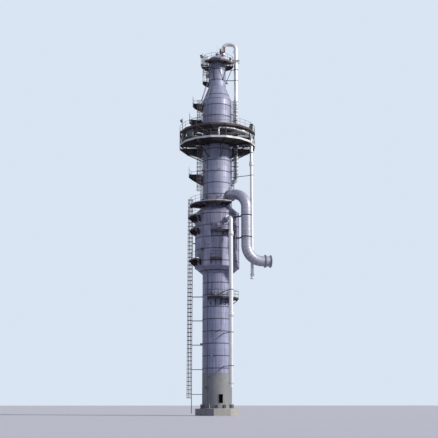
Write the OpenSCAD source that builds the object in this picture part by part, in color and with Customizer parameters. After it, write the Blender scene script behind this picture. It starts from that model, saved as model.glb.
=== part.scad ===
/* [Foundation] */
// Distance across the flats of the eight-sided concrete pedestal
pedestal_w = 3000; // [2800:20:3600]
// Height of the pedestal above the ground
pedestal_h = 500; // [300:20:900]

/* [Column shell] */
// Radius of the lower, stripping section, over its cladding
lower_r = 1100; // [1050:10:1200]
// Radius of the wide flash section, over its cladding
wide_r = 1685; // [1640:5:1730]
// Radius of the main, middle section, over its cladding
middle_r = 1150; // [1120:5:1190]
// Radius of the narrow top section, over its cladding
top_r = 685; // [660:5:720]
// Thickness of plate, insulation and cladding together
wall = 60; // [40:5:90]
// Height of the skirt from the pedestal to the first weld
skirt_h = 2500; // [2300:20:2700]
// Height of the lower section above the skirt
lower_h = 7400; // [7300:10:7500]
// Height of the cone under the wide section
lower_cone_h = 500; // [450:10:550]
// Height of the wide section
wide_h = 4200; // [4150:10:4250]
// Height of the cone over the wide section
upper_cone_h = 500; // [450:10:520]
// Height of the middle section
middle_h = 8600; // [8560:10:8700]
// Height of the cone over the middle section
transition_h = 1200; // [1100:10:1300]
// Height of the top section
top_h = 2300; // [2250:10:2400]
// Depth of the domed ends, as a share of their radius
dome_ratio = 0.5; // [0.4:0.05:0.6]

/* [Cladding bands] */
// Distance from one cladding band to the next
band_pitch = 900; // [700:20:1100]
// Height of a cladding band
band_h = 30; // [20:2:40]
// How far a cladding band stands out
band_proud = 8; // [5:1:12]

/* [Skirt] */
// Thickness of the skirt plate
skirt_wall = 40; // [30:2:50]
// Width of the doorway in the skirt
door_w = 320; // [260:10:400]
// Height of the doorway in the skirt
door_h = 640; // [500:10:800]
// Number of anchor chairs round the skirt
chair_count = 12; // [8:2:16]

/* [Platforms] */
// Thickness of the deck grating
deck_t = 16; // [12:1:24]
// Depth of the joists under a deck
joist_h = 84; // [60:2:110]
// Width of the joists and edge beams
beam_w = 30; // [20:2:40]
// Height of the handrails over the deck
rail_h = 550; // [480:10:600]
// Side of the square handrail bars and posts
rail_bar = 26; // [20:1:34]
// Height of the toe plate at the foot of a handrail
toe_h = 60; // [40:5:80]
// Radius to the corners of the two ring decks
ring_r = 3000; // [2950:10:3100]
// Number of panels in a ring deck
ring_panels = 16; // [16:1:16]
// Height of the upper ring deck over the lower one
ring_rise = 1000; // [900:20:1100]
// Radius to the corners of the top deck
top_deck_r = 1325; // [1280:5:1400]
// Radius of the middle deck over the wide section
mid_deck_r = 2150; // [2100:10:2250]
// Thickness of the bracket plates
bracket_t = 30; // [20:2:40]

/* [Ladders] */
// Width of a ladder over its stringers
ladder_w = 230; // [200:5:260]
// Distance from rung to rung
rung_pitch = 150; // [140:5:170]
// Depth of the safety cage out from the ladder
cage_depth = 360; // [320:10:400]
// Width of the safety cage
cage_w = 360; // [330:10:400]
// Distance from hoop to hoop
hoop_pitch = 600; // [500:20:700]
// Distance from the shell to the ladder
ladder_gap = 200; // [170:5:240]

/* [Pipes] */
// Radius of the large vapour pipe
vapour_r = 390; // [340:5:410]
// Bend radius of its elbows
vapour_bend = 1150; // [1050:10:1200]
// Distance from the column axis to its upright run
vapour_reach = 2700; // [2650:10:2800]
// Height of its nozzle over the foot of the middle section
vapour_over = 850; // [800:10:900]
// Height of the level run over the foot of the wide section
vapour_low = 350; // [300:10:450]
// Radius of the overhead line
overhead_r = 145; // [110:5:170]
// Radius of the side riser
riser_r = 115; // [90:5:125]
// Radius of the front riser
front_r = 150; // [120:5:160]
// Wall of the open flanged pipe ends
spool_wall = 16; // [12:1:20]

/* [Hidden] */
$fn = 64;
// Facets of a preview of the column's own round faces
shell_fn = 240;
// Gap at which a separate piece is seated on what carries it
seat = 0.3;
// Joint between two panels of a deck or a handrail
joint = 0.5;
// Width of the bars of a deck's grating, and the size of its cells at most
mesh_bar = 36;
mesh_pitch = 290;
// Clearance round a pipe that passes through a deck
pipe_clear = 25;

lower_z = pedestal_h + skirt_h;
lower_cone_z = lower_z + lower_h;
wide_z = lower_cone_z + lower_cone_h;
upper_cone_z = wide_z + wide_h;
middle_z = upper_cone_z + upper_cone_h;
transition_z = middle_z + middle_h;
top_z = transition_z + transition_h;
head_z = top_z + top_h;

// Heights of the decks, over the foot of the section that carries each
front_platform_z = 5550;
wide_platform_z = 2600;
low_platform_z = 500;
lower_ring_rise = 4900;
lower_ring_z = middle_z + lower_ring_rise;
upper_ring_z = lower_ring_z + ring_rise;
top_deck_z = top_z + 1950;
mid_deck_z = middle_z + 130;

// Azimuths count from the front, -Y, towards the right, +X
ladder_az = -80;
front_ladder_az = 55;
vapour_az = 40;
panel_a = 360 / ring_panels;
post_r = ring_r - 120;

vapour_z = middle_z + vapour_over;
vapour_x = vapour_reach * sin(vapour_az);
vapour_y = -vapour_reach * cos(vapour_az);
vapour_low_z = wide_z + vapour_low;
vapour_end_x = vapour_x + vapour_bend + 300;
vapour_spool = 420;

overhead_az = 75;
// Clearance of the overhead line from the middle section, and from the top deck's corners
overhead_stand = 190;
overhead_clear = 15;
overhead_reach = max(middle_r + overhead_stand, top_deck_r + overhead_clear) + overhead_r;
overhead_x = overhead_reach * sin(overhead_az);
overhead_y = -overhead_reach * cos(overhead_az);
overhead_bend = 420;
overhead_low_z = middle_z + 2050;
overhead_top_z = head_z + 1405;
overhead_in = 480;
overhead_foot_z = head_z + 480;

riser_az = 60;
riser_clear = 25;
riser_reach = post_r - riser_r - riser_clear;
// The arms of its guides meet the column here, beside the front ladder's cage
riser_foot_az = 70;
riser_x = riser_reach * sin(riser_az);
riser_y = -riser_reach * cos(riser_az);
riser_top_z = lower_ring_z + 720;
riser_bend = 260;
riser_end_z = wide_z - 900;

// The relief valve's place on the head, and the way its tail pipe points
valve_r = 60;
valve_in = 440;
valve_az = 22;
valve_z = head_z + 400;
tail_az = 66;

front_az = 12;
front_reach = wide_r + 620;
front_x = front_reach * sin(front_az);
front_y = -front_reach * cos(front_az);
front_top_z = upper_cone_z - 650;
front_bend = 260;
front_end_z = pedestal_h + 1500;

spool_len = 300;
nozzle_depth = 400;
collar_t = 30;

// Heights of the pipe guides over the foot of the section that carries them
overhead_guides = [3300, 7000];
top_guides = [600, 1500];
vapour_guides = [2100, 3750];
riser_guides = [2400, 4200];
front_guides = [500, 2900, 6000];

// Drops of the knee brackets, and the reach of those under the upper ring deck
ring_drop = 1050;
inner_drop = 480;
inner_reach = 800;
top_drop = 1450;

base_t = 30;
deck_gap = 40;
corner_gap = 6;
joist_end = 12;
hatch_r = middle_r + ladder_gap + cage_depth + 60;
lower_ladder_az = -106;
front_ladder_rise = 1350;
front_ladder_z = middle_z + front_ladder_rise;

// Landings beside the ladders: outer radius, drop of the brackets, and height from what each serves
top_landing_r = 1180;
top_landing_drop = 300;
top_landing_up = 500;
cone_landing_r = 1950;
cone_landing_drop = 500;
cone_landing_down = 200;
ring_landing_r = 2230;
ring_landing_drop = 700;
ring_landing_up = 1150;
ring_landing_down = 2300;
wide_landing_r = 2160;
wide_landing_drop = 420;
wide_landing_up = 560;
high_landing_r = 2260;
high_landing_down = 300;
mid_landing_drop = 350;
mid_landing_down = 1350;

// Outer radius and bracket drop of the front platforms and of the middle deck
front_1_r = 2100;
front_1_drop = 350;
front_2_r = 2050;
front_2_drop = 330;
front_3_r = 1700;
front_3_drop = 450;
mid_deck_drop = 420;
riser_turn_az = 28;
mid_az0 = -98;
mid_az1 = 17;

function spread(z0, z1, pitch) = [for (z = [z0 : pitch : z1]) z];
lower_bands = spread(lower_z + 400, lower_cone_z - 200, band_pitch);
wide_bands = spread(wide_z + 400, upper_cone_z - 200, band_pitch);
middle_bands = spread(middle_z + 900, transition_z - 100, band_pitch);
top_bands = spread(top_z + 500, head_z - 200, band_pitch);

function polar(r, a) = [r * sin(a), -r * cos(a)];

// Corner points of the bands up one side of a section
function band_steps(r, zs, grow) = [
  for (z = zs) each [
    [r + grow, z - band_h / 2 - grow], [r + band_proud + grow, z - band_h / 2 - grow],
    [r + band_proud + grow, z + band_h / 2 + grow], [r + grow, z + band_h / 2 + grow]
  ]
];

// A clad section of the column: a tube with its bands
module course(r, z0, z1, bands) {
  rotate_extrude($fn = shell_fn)
    polygon(concat(
      [[r - wall, z0], [r, z0]], band_steps(r, bands, 0), [[r, z1], [r - wall, z1]]
    ));
}

// A cone between two sections
module cone(r0, r1, z0, z1) {
  rotate_extrude($fn = shell_fn)
    polygon([[r0 - wall, z0], [r0, z0], [r1, z1], [r1 - wall, z1]]);
}

// Points up one side of the whole column, moved out by grow
function column_side(grow) = concat(
  [[lower_r + grow, pedestal_h]], band_steps(lower_r, lower_bands, grow),
  [[lower_r + grow, lower_cone_z], [wide_r + grow, wide_z]], band_steps(wide_r, wide_bands, grow),
  [[wide_r + grow, upper_cone_z], [middle_r + grow, middle_z]], band_steps(middle_r, middle_bands, grow),
  [[middle_r + grow, transition_z], [top_r + grow, top_z]], band_steps(top_r, top_bands, grow),
  [[top_r + grow, head_z]]
);

// Sets its children against the column: they are cut back to the cladding, less the seat
module on_column() {
  difference() {
    union() children();
    rotate_extrude($fn = shell_fn)
      polygon(concat([[0, pedestal_h]], column_side(seat), [[0, head_z]]));
  }
}

// A flat slab with straight sides, between two radii and two azimuths
module slab(r0, r1, a0, a1, z, h) {
  translate([0, 0, z])
    linear_extrude(height = h)
      polygon([polar(r0, a0), polar(r1, a0), polar(r1, a1), polar(r0, a1)]);
}

// Turns a side profile, drawn outward and up, to an azimuth as a plate
module radial_plate(az, t, shift = 0) {
  rotate([0, 0, az]) translate([shift, 0, 0]) rotate([0, 0, -90]) rotate([90, 0, 0])
    linear_extrude(height = t, center = true) children();
}

// A radial joist that ends just inside the edge beam
module joist(r0, r1, a, z, shift = 0) {
  len = r1 - beam_w - joist_end - r0;
  rotate([0, 0, a])
    translate([shift - beam_w / 2, -r0 - len, z - deck_t - seat - joist_h])
      cube([beam_w, len, joist_h]);
}

// The angle that a length takes up at a radius
function angle_of(len, r) = len / r * 180 / PI;

// Whether a cell of grating at p keeps off the pipes that pass through the deck
function clear_of(p, pipes) =
  len([for (q = pipes) if (norm(p - [q[0], q[1]]) < q[2] + mesh_pitch) 1]) == 0;

// One panel of open grating, left plain where a pipe passes through it.
// pipes holds the place and the radius of each pipe.
module grating(r0, r1, a0, a1, z, pipes) {
  mid = (a0 + a1) / 2;
  slope = tan((a1 - a0) / 2);
  y0 = r0 * cos((a1 - a0) / 2);
  y1 = r1 * cos((a1 - a0) / 2);
  side = joint / 2;
  m = mesh_bar / 2;
  columns = max(2, round(2 * y1 * slope / mesh_pitch));
  rows = max(2, round((y1 - y0) / mesh_pitch));
  row = (y1 - y0 - mesh_bar) / rows;
  cells = [
    for (i = [0 : columns - 1]) for (j = [0 : rows - 1])
      let (
        near = y0 + mesh_bar + j * row,
        far = near + row - mesh_bar,
        left = slope * (2 * i / columns - 1),
        right = slope * (2 * (i + 1) / columns - 1),
        x = near * (left + right) / 2
      )
      if (clear_of([x * cos(mid) + near * sin(mid), x * sin(mid) - near * cos(mid)], pipes))
        [[near * left + m, -near], [far * left + m, -far], [far * right - m, -far], [near * right - m, -near]]
  ];
  edge = [
    [side - y0 * slope, -y0], [side - y1 * slope, -y1], [y1 * slope - side, -y1], [y0 * slope - side, -y0]
  ];
  rotate([0, 0, mid]) translate([0, 0, z - deck_t])
    linear_extrude(height = deck_t)
      difference() {
        polygon(concat(edge, [for (c = cells) each c]),
          [for (k = [0 : len(cells)]) [4 * k, 4 * k + 1, 4 * k + 2, 4 * k + 3]]);
        for (q = pipes)
          rotate(-mid) translate([q[0], q[1]]) circle(q[2] + pipe_clear);
      }
}

// One deck panel with its edge beam
module deck_bay(r0, r1, a0, a1, z, pipes = []) {
  gap_a = angle_of(joint / 4, r0);
  grating(r0, r1 - beam_w - 2 * seat, a0, a1, z, pipes);
  slab(r1 - beam_w, r1, a0 + gap_a, a1 - gap_a, z - deck_t - joist_h, deck_t + joist_h);
}

// One flat panel of handrail along the edge of a deck: a post, two rails and a toe plate
module rail_bay(r, a0, a1, z, end_post = false) {
  half = (a1 - a0) / 2;
  face = r * cos(half);
  len = 2 * (face - rail_bar) * tan(half) - joint;
  rotate([0, 0, a0 + half]) translate([-len / 2, -face, z])
    union() {
      translate([0, 0, rail_h - rail_bar]) cube([len, rail_bar, rail_bar]);
      translate([1, 4, rail_h / 2]) cube([len - 2, rail_bar - 8, rail_bar - 8]);
      translate([1, rail_bar - 8, seat]) cube([len - 2, 7, toe_h]);
      for (x = end_post ? [0, len - rail_bar] : [0])
        translate([x, 0, seat]) cube([rail_bar, rail_bar, rail_h - 1]);
    }
}

// A straight run of handrail that points away from the column
module rail_side(r0, r1, az, z, side) {
  len = r1 - rail_bar - corner_gap - r0;
  radial_plate(az, rail_bar - 6, side * (rail_bar / 2 + 2))
    translate([r0, z]) {
      translate([0, rail_h - rail_bar]) square([len, rail_bar]);
      translate([0, rail_h / 2]) square([len, rail_bar - 8]);
      translate([0, seat]) square([len, toe_h]);
      translate([0, seat]) square([rail_bar, rail_h - 1]);
      translate([len - rail_bar, seat]) square([rail_bar, rail_h - 1]);
    }
}

// A knee bracket: an arm, a foot on the shell and a sloping strut, all as wide as bar
module knee(az, r0, r1, z, drop, bar, shift = 0) {
  slope = atan2(drop - bar, r1 - r0 - bar);
  radial_plate(az, bracket_t, shift)
    difference() {
      polygon([[r0 - 20, z], [r1, z], [r1, z - bar], [r0 + bar, z - drop], [r0 - 20, z - drop]]);
      polygon([
        [r0 + bar, z - bar], [r1 - bar / sin(slope), z - bar], [r0 + bar, z - drop + bar / cos(slope)]
      ]);
    }
}

// Underside of the joists, less the seat
function under(z) = z - deck_t - joist_h - 2 * seat;

// A part-round platform: decking, joists, handrails and brackets
module platform(az0, az1, bays, sr, r1, z, drop) {
  step = (az1 - az0) / bays;
  r0 = sr + band_proud + deck_gap;
  for (i = [0 : bays - 1])
    deck_bay(r0, r1, az0 + i * step, az0 + (i + 1) * step, z);
  for (i = [0 : bays])
    joist(r0, r1, az0 + i * step, z, i == 0 ? beam_w / 2 + 2 : i == bays ? -beam_w / 2 - 2 : 0);
  on_column()
    for (i = [0 : bays])
      knee(az0 + i * step, sr, r1 - 60, under(z), drop, 50,
        i == 0 ? beam_w / 2 + 2 : i == bays ? -beam_w / 2 - 2 : 0);
}

// Its handrail, left open at the ends that a ladder reaches
module platform_rail(az0, az1, bays, sr, r1, z, open_start, open_end) {
  step = (az1 - az0) / bays;
  r0 = sr + band_proud + deck_gap;
  for (i = [0 : bays - 1])
    rail_bay(r1, az0 + i * step, az0 + (i + 1) * step, z, i == bays - 1);
  if (!open_start) rail_side(r0, r1, az0, z, 1);
  if (!open_end) rail_side(r0, r1, az1, z, -1);
}

// A ladder in its own plane, standing at radius r
module ladder_at(az, r, z0, z1) {
  rungs = floor((z1 - z0 - 100) / rung_pitch);
  rotate([0, 0, az])
    union() {
      for (side = [-1, 1])
        translate([side * (ladder_w / 2 - 4) - 4, -r - 18, z0]) cube([8, 36, z1 - z0]);
      for (i = [0 : rungs])
        translate([-ladder_w / 2 + 2, -r - 6, z0 + 60 + i * rung_pitch]) cube([ladder_w - 4, 12, 12]);
    }
}

// One flat side of a safety cage, from point p to point q in plan
module cage_side(p, q, z0, z1, straps) {
  d = q - p;
  len = norm(d);
  hoops = floor((z1 - z0 - 40) / hoop_pitch);
  translate([p[0], p[1], 0]) rotate([0, 0, atan2(d[1], d[0])])
    union() {
      for (i = [0 : hoops])
        translate([0, -4, z0 + i * hoop_pitch]) cube([len, 8, 40]);
      for (i = [0 : straps - 1])
        translate([i * (len - 24) / (straps - 1), -4, z0]) cube([24, 8, z1 - z0]);
    }
}

// The five flat sides of a cage round a ladder
module cage_at(az, r, z0, z1) {
  w = cage_w / 2;
  n = ladder_w / 2 + 4.4;
  d = r + cage_depth;
  m = r + 0.45 * cage_depth;
  rotate([0, 0, az]) {
    cage_side([-n, -r], [-w, -m], z0, z1, 2);
    cage_side([-w, -m - 3.7], [-w * 0.55, -d], z0, z1, 2);
    cage_side([-w * 0.55 + 4.4, -d], [w * 0.55 - 4.4, -d], z0, z1, 3);
    cage_side([w * 0.55, -d], [w, -m - 3.7], z0, z1, 2);
    cage_side([w, -m], [n, -r], z0, z1, 2);
  }
}

// Pairs of arms that hold a ladder off the column
module standoffs(az, sr, r, zs) {
  on_column()
    rotate([0, 0, az])
      for (z = zs)
        for (side = [-1, 1])
          translate([side * (ladder_w / 2 - 14) - 8, -r + 18 + seat, z]) cube([16, r - 18 - seat - sr + 40, 50]);
}

function unit(v) = v / norm(v);
function turn_at(a, b, c) = acos(unit(b - a) * unit(c - b));
function tangent_at(a, b, c, bend) = bend * tan(turn_at(a, b, c) / 2);

// Places its children at p with their Z axis along d
module aim(p, d) {
  x = abs(d[2]) > 0.999 ? [1, 0, 0] : unit(cross([0, 0, 1], d));
  y = cross(d, x);
  multmatrix([
    [x[0], y[0], d[0], p[0]], [x[1], y[1], d[1], p[1]], [x[2], y[2], d[2], p[2]], [0, 0, 0, 1]
  ]) children();
}

// The elbow of a pipe at corner b
module elbow(a, b, c, bend, r) {
  u = unit(b - a);
  w = unit(c - b);
  n = unit(w - (u * w) * u);
  z = cross(-n, u);
  o = b - u * tangent_at(a, b, c, bend) + n * bend;
  multmatrix([
    [-n[0], u[0], z[0], o[0]], [-n[1], u[1], z[1], o[1]], [-n[2], u[2], z[2], o[2]], [0, 0, 0, 1]
  ])
    rotate_extrude(angle = turn_at(a, b, c)) translate([bend, 0]) circle(r);
}

// A pipe along a route, with an elbow at each inner point, a root gap away from the straights.
// bends holds the bend radius of each elbow.
module pipe(route, bends, r) {
  last = len(route) - 1;
  for (i = [0 : last - 1]) {
    a = route[i];
    b = route[i + 1];
    cut0 = i == 0 ? 0 : tangent_at(route[i - 1], a, b, bends[i - 1]) + seat;
    cut1 = i == last - 1 ? 0 : tangent_at(a, b, route[i + 2], bends[i]) + seat;
    aim(a + unit(b - a) * cut0, unit(b - a)) cylinder(r = r, h = norm(b - a) - cut0 - cut1);
    if (i < last - 1) elbow(a, b, route[i + 2], bends[i], r);
  }
}

// A flange disc at p, facing along d
module flange(p, d, r, t) {
  aim(p, d) cylinder(r = r, h = t);
}

// A nozzle: a neck out of the column with its flange, up to radius reach
module nozzle(az, z, r, reach, face_r, face_t) {
  d = concat(polar(1, az), 0);
  on_column() {
    aim(concat(polar(reach - nozzle_depth, az), z), d) cylinder(r = r, h = nozzle_depth);
    flange(concat(polar(reach - face_t, az), z), d, face_r, face_t);
  }
}

// An open, flanged pipe end: its joint face at p, its open face len further along d
module spool(p, d, r, len, face_r, face_t, pcd, holes, hole_r) {
  aim(p, d)
    difference() {
      union() {
        cylinder(r = r, h = len);
        cylinder(r = face_r, h = face_t);
        translate([0, 0, len - face_t]) cylinder(r = face_r, h = face_t);
      }
      translate([0, 0, -1]) cylinder(r = r - spool_wall, h = len + 2);
      for (i = [0 : holes - 1])
        rotate([0, 0, (i + 0.5) * 360 / holes]) translate([pcd / 2, 0, len - face_t - 1])
          cylinder(r = hole_r, h = face_t + 2);
    }
}

// A collar round an upright pipe, on an arm from the column.
// The arm meets the column's side, of radius foot_r, at azimuth foot_az.
module guide(x, y, pr, z, h, arm, foot_r, foot_az) {
  d = polar(foot_r - wall, foot_az) - [x, y];
  translate([x, y, z])
    linear_extrude(height = h)
      difference() {
        union() {
          circle(pr + collar_t);
          rotate(atan2(d[1], d[0])) translate([0, -arm / 2]) square([norm(d), arm]);
        }
        circle(pr + seat);
      }
}

module pedestal() {
  color("silver")
    rotate([0, 0, 22.5])
      cylinder(r = pedestal_w / 2 / cos(22.5), h = pedestal_h, $fn = 8);
}

module skirt() {
  color("slategray")
    difference() {
      rotate_extrude()
        polygon([
          [lower_r - 150, pedestal_h], [lower_r + 150, pedestal_h], [lower_r + 150, pedestal_h + base_t],
          [lower_r, pedestal_h + base_t], [lower_r, lower_z], [lower_r - skirt_wall, lower_z],
          [lower_r - skirt_wall, pedestal_h + base_t], [lower_r - 150, pedestal_h + base_t]
        ]);
      translate([-door_w / 2, -lower_r - 60, pedestal_h + 400])
        cube([door_w, 300, door_h]);
      for (a = [45 : 90 : 315])
        rotate([0, 0, a]) translate([0, 0, lower_z - 250]) rotate([90, 0, 0])
          cylinder(r = 50, h = lower_r + 60);
    }
}

module anchor_chairs() {
  color("slategray")
    for (i = [0 : chair_count - 1])
      rotate([0, 0, (i + 0.5) * 360 / chair_count])
        difference() {
          union() {
            for (side = [-1, 1])
              translate([side * 55 - 8, -lower_r - 130, pedestal_h + base_t + seat]) cube([16, 160, 240]);
            translate([-75, -lower_r - 145, pedestal_h + base_t + 235]) cube([150, 175, 24]);
          }
          cylinder(r = lower_r + seat, h = lower_z);
        }
}

// A domed end: a dished shell that opens down, or up where it is turned over
module dome(r, z, up) {
  steps = 10;
  rise = r * dome_ratio;
  rotate_extrude()
    polygon(concat(
      [for (i = [0 : steps]) [r * cos(i * 90 / steps), z + up * rise * sin(i * 90 / steps)]],
      [for (i = [steps : -1 : 0])
        [(r - wall) * cos(i * 90 / steps), z + up * (rise - wall) * sin(i * 90 / steps)]]
    ));
}

// The space under an upward dome
module dome_inside(r, z) {
  steps = 10;
  rotate_extrude($fn = shell_fn)
    polygon(concat(
      [[0, z - 1], [r - wall, z - 1]],
      [for (i = [0 : steps])
        [(r - wall) * cos(i * 90 / steps), z + (r * dome_ratio - wall) * sin(i * 90 / steps)]]
    ));
}

module bottom_head() {
  color("slategray") dome(lower_r - skirt_wall - 2 * seat, lower_z, -1);
}

module lower_shell() {
  color("lightsteelblue") course(lower_r, lower_z, lower_cone_z, lower_bands);
}

module lower_cone() {
  color("lightsteelblue") cone(lower_r, wide_r, lower_cone_z, wide_z);
}

module wide_shell() {
  color("lightsteelblue") course(wide_r, wide_z, upper_cone_z, wide_bands);
}

module upper_cone() {
  color("lightsteelblue") cone(wide_r, middle_r, upper_cone_z, middle_z);
}

module middle_shell() {
  color("lightsteelblue") course(middle_r, middle_z, transition_z, middle_bands);
}

module transition_cone() {
  color("lightsteelblue") cone(middle_r, top_r, transition_z, top_z);
}

module top_shell() {
  color("lightsteelblue") course(top_r, top_z, head_z, top_bands);
}

module top_head() {
  stub = polar(overhead_in, overhead_az);
  valve = polar(valve_in, valve_az);
  color("lightsteelblue")
    difference() {
      union() {
        dome(top_r, head_z, 1);
        translate([0, 0, head_z + top_r * dome_ratio - wall / 2]) cylinder(r = 90, h = 260);
        translate([0, 0, head_z + top_r * dome_ratio + 200]) cylinder(r = 150, h = 30);
        translate([stub[0], stub[1], head_z]) cylinder(r = overhead_r, h = overhead_foot_z - head_z);
        translate([stub[0], stub[1], overhead_foot_z - 22]) cylinder(r = overhead_r + 50, h = 22);
        translate([valve[0], valve[1], head_z]) cylinder(r = valve_r, h = valve_z - head_z);
        translate([valve[0], valve[1], valve_z - 20]) cylinder(r = valve_r + 35, h = 20);
      }
      dome_inside(top_r, head_z);
    }
}

// The relief valve on the head, with its tail pipe
module relief_valve() {
  foot = concat(polar(valve_in, valve_az), valve_z + seat);
  up = [0, 0, 1];
  away = concat(polar(1, tail_az), 0);
  mouth = foot + up * 130 + away * 150;
  bend = mouth + away * 150;
  color("brown") {
    union() {
      flange(foot, up, valve_r + 35, 20);
      aim(foot, up) cylinder(r = valve_r + 15, h = 230);
      aim(foot + up * 130, away) cylinder(r = valve_r, h = 150);
      flange(mouth - away * 20, away, valve_r + 35, 20);
      flange(foot + up * 220, up, valve_r + 35, 30);
      aim(foot + up * 240, up) cylinder(r = valve_r - 5, h = 200);
      aim(foot + up * 430, up) cylinder(r = valve_r - 30, h = 80);
    }
    flange(mouth + away * seat, away, valve_r + 35, 20);
    pipe([mouth + away * seat, bend, bend + up * 520], [valve_r * 1.6], valve_r - 5);
  }
}

function bay_az(i) = ladder_az + (i - 0.5) * panel_a;
front_bay = round((front_ladder_az - ladder_az) / panel_a);

// A ring deck in straight bays; two of them start further out, where the ladders come through
module ring_deck(z, pipes) {
  r0 = middle_r + band_proud + deck_gap;
  for (i = [0 : ring_panels - 1]) {
    deck_bay(i == 0 || i == front_bay ? hatch_r : r0, ring_r, bay_az(i), bay_az(i + 1), z, pipes);
    joist(r0, ring_r, bay_az(i), z);
  }
}

module ring_rail(z) {
  for (i = [0 : ring_panels - 1])
    rail_bay(ring_r, bay_az(i), bay_az(i + 1), z);
}

module lower_ring_deck() {
  color("dimgray")
    ring_deck(lower_ring_z, [[riser_x, riser_y, riser_r], [overhead_x, overhead_y, overhead_r]]);
}

module upper_ring_deck() {
  color("dimgray")
    ring_deck(upper_ring_z, [[overhead_x, overhead_y, overhead_r]]);
}

module lower_ring_rail() {
  color("gainsboro") ring_rail(lower_ring_z);
}

module upper_ring_rail() {
  color("gainsboro") ring_rail(upper_ring_z);
}

module ring_posts() {
  color("dimgray")
    for (i = [0 : 2 : ring_panels - 1])
      rotate([0, 0, bay_az(i)])
        translate([-beam_w, -post_r - 60, lower_ring_z + seat])
          cube([2 * beam_w, 60, under(upper_ring_z) - lower_ring_z - seat]);
}

module ring_brackets() {
  color("dimgray")
    on_column()
      for (i = [0 : 2 : ring_panels - 1]) {
        knee(bay_az(i), middle_r, ring_r - 80, under(lower_ring_z), ring_drop, 80);
        knee(bay_az(i), middle_r, middle_r + inner_reach, under(upper_ring_z), inner_drop, 50);
      }
}

// The top deck leaves one of its twelve bays open, for the ladder
function top_az(i) = ladder_az - 15 + i * 30;

module top_deck() {
  r0 = top_r + band_proud + deck_gap;
  color("dimgray") {
    for (i = [1 : 11]) deck_bay(r0, top_deck_r, top_az(i), top_az(i + 1), top_deck_z);
    for (i = [1 : 12])
      joist(r0, top_deck_r, top_az(i), top_deck_z, i == 1 ? 17 : i == 12 ? -17 : 0);
    on_column()
      for (i = [2 : 2 : 10])
        knee(top_az(i), top_r, top_deck_r - 60, under(top_deck_z), top_drop, 45);
  }
}

module top_rail() {
  color("gainsboro")
    for (i = [1 : 11])
      rail_bay(top_deck_r, top_az(i), top_az(i + 1), top_deck_z, i == 11);
}

module davit() {
  foot = concat(polar(1000, 25), [top_deck_z + seat]);
  bend_z = head_z + 950;
  color("gainsboro") {
    pipe([foot, [foot[0], foot[1], bend_z], [foot[0] + 700, foot[1], bend_z]], [260], 28);
    flange(foot, [0, 0, 1], 70, 20);
  }
}

module middle_deck() {
  color("dimgray")
    platform(mid_az0, mid_az1, 7, middle_r, mid_deck_r, mid_deck_z, mid_deck_drop);
}

module middle_rail() {
  color("gainsboro")
    platform_rail(mid_az0, mid_az1, 7, middle_r, mid_deck_r, mid_deck_z, true, false);
}

// A landing beside a ladder, with its handrail
module landing(az0, az1, bays, sr, r1, z, drop, open_start, open_end) {
  color("dimgray") platform(az0, az1, bays, sr, r1, z, drop);
  color("gainsboro") platform_rail(az0, az1, bays, sr, r1, z, open_start, open_end);
}

module left_platform_1() {
  landing(-130, -94, 2, top_r, top_landing_r, top_z + top_landing_up, top_landing_drop, false, true);
}

module left_platform_2() {
  landing(-122, -94, 2, middle_r, cone_landing_r, transition_z - cone_landing_down,
    cone_landing_drop, false, true);
}

module left_platform_3() {
  landing(-128, -93, 2, middle_r, ring_landing_r, upper_ring_z + ring_landing_up,
    ring_landing_drop, false, true);
}

module left_platform_4() {
  landing(-128, -93, 2, middle_r, ring_landing_r, lower_ring_z - ring_landing_down,
    ring_landing_drop, false, true);
}

module left_platform_5() {
  landing(-97, -62, 2, wide_r, high_landing_r, upper_cone_z - high_landing_down,
    wide_landing_drop, true, false);
}

module left_platform_6() {
  landing(-97, -66, 2, wide_r, wide_landing_r, upper_cone_z - mid_landing_down,
    mid_landing_drop, true, false);
}

module left_platform_7() {
  landing(-97, -60, 2, wide_r, wide_landing_r, wide_z + wide_landing_up, wide_landing_drop, true, false);
}

module front_platform_1() {
  landing(-28, 28, 4, wide_r, front_1_r, wide_z + wide_platform_z, front_1_drop, false, false);
}

module front_platform_2() {
  landing(-30, -4, 2, wide_r, front_2_r, wide_z + low_platform_z, front_2_drop, false, false);
}

module front_platform_3() {
  landing(-40, 58, 5, lower_r, front_3_r, lower_z + front_platform_z, front_3_drop, false, false);
}

module lower_ladder() {
  r = wide_r + ladder_gap;
  color("gainsboro") {
    ladder_at(lower_ladder_az, r, 150, mid_deck_z + rail_h);
    cage_at(lower_ladder_az, r, 1250, mid_deck_z + rail_h);
    standoffs(lower_ladder_az, lower_r, r, [for (z = [1500 : 1800 : lower_cone_z - 300]) z]);
    standoffs(lower_ladder_az, wide_r, r, [for (z = [wide_z + 600 : 1300 : upper_cone_z - 100]) z]);
  }
}

module middle_ladder() {
  r = middle_r + ladder_gap;
  color("gainsboro") {
    ladder_at(ladder_az, r, mid_deck_z + 2, upper_ring_z - 2);
    cage_at(ladder_az, r, mid_deck_z + 1100, upper_ring_z - 2);
    standoffs(ladder_az, middle_r, r, [for (z = [mid_deck_z + 400 : 1150 : upper_ring_z - 200]) z]);
  }
}

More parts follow.
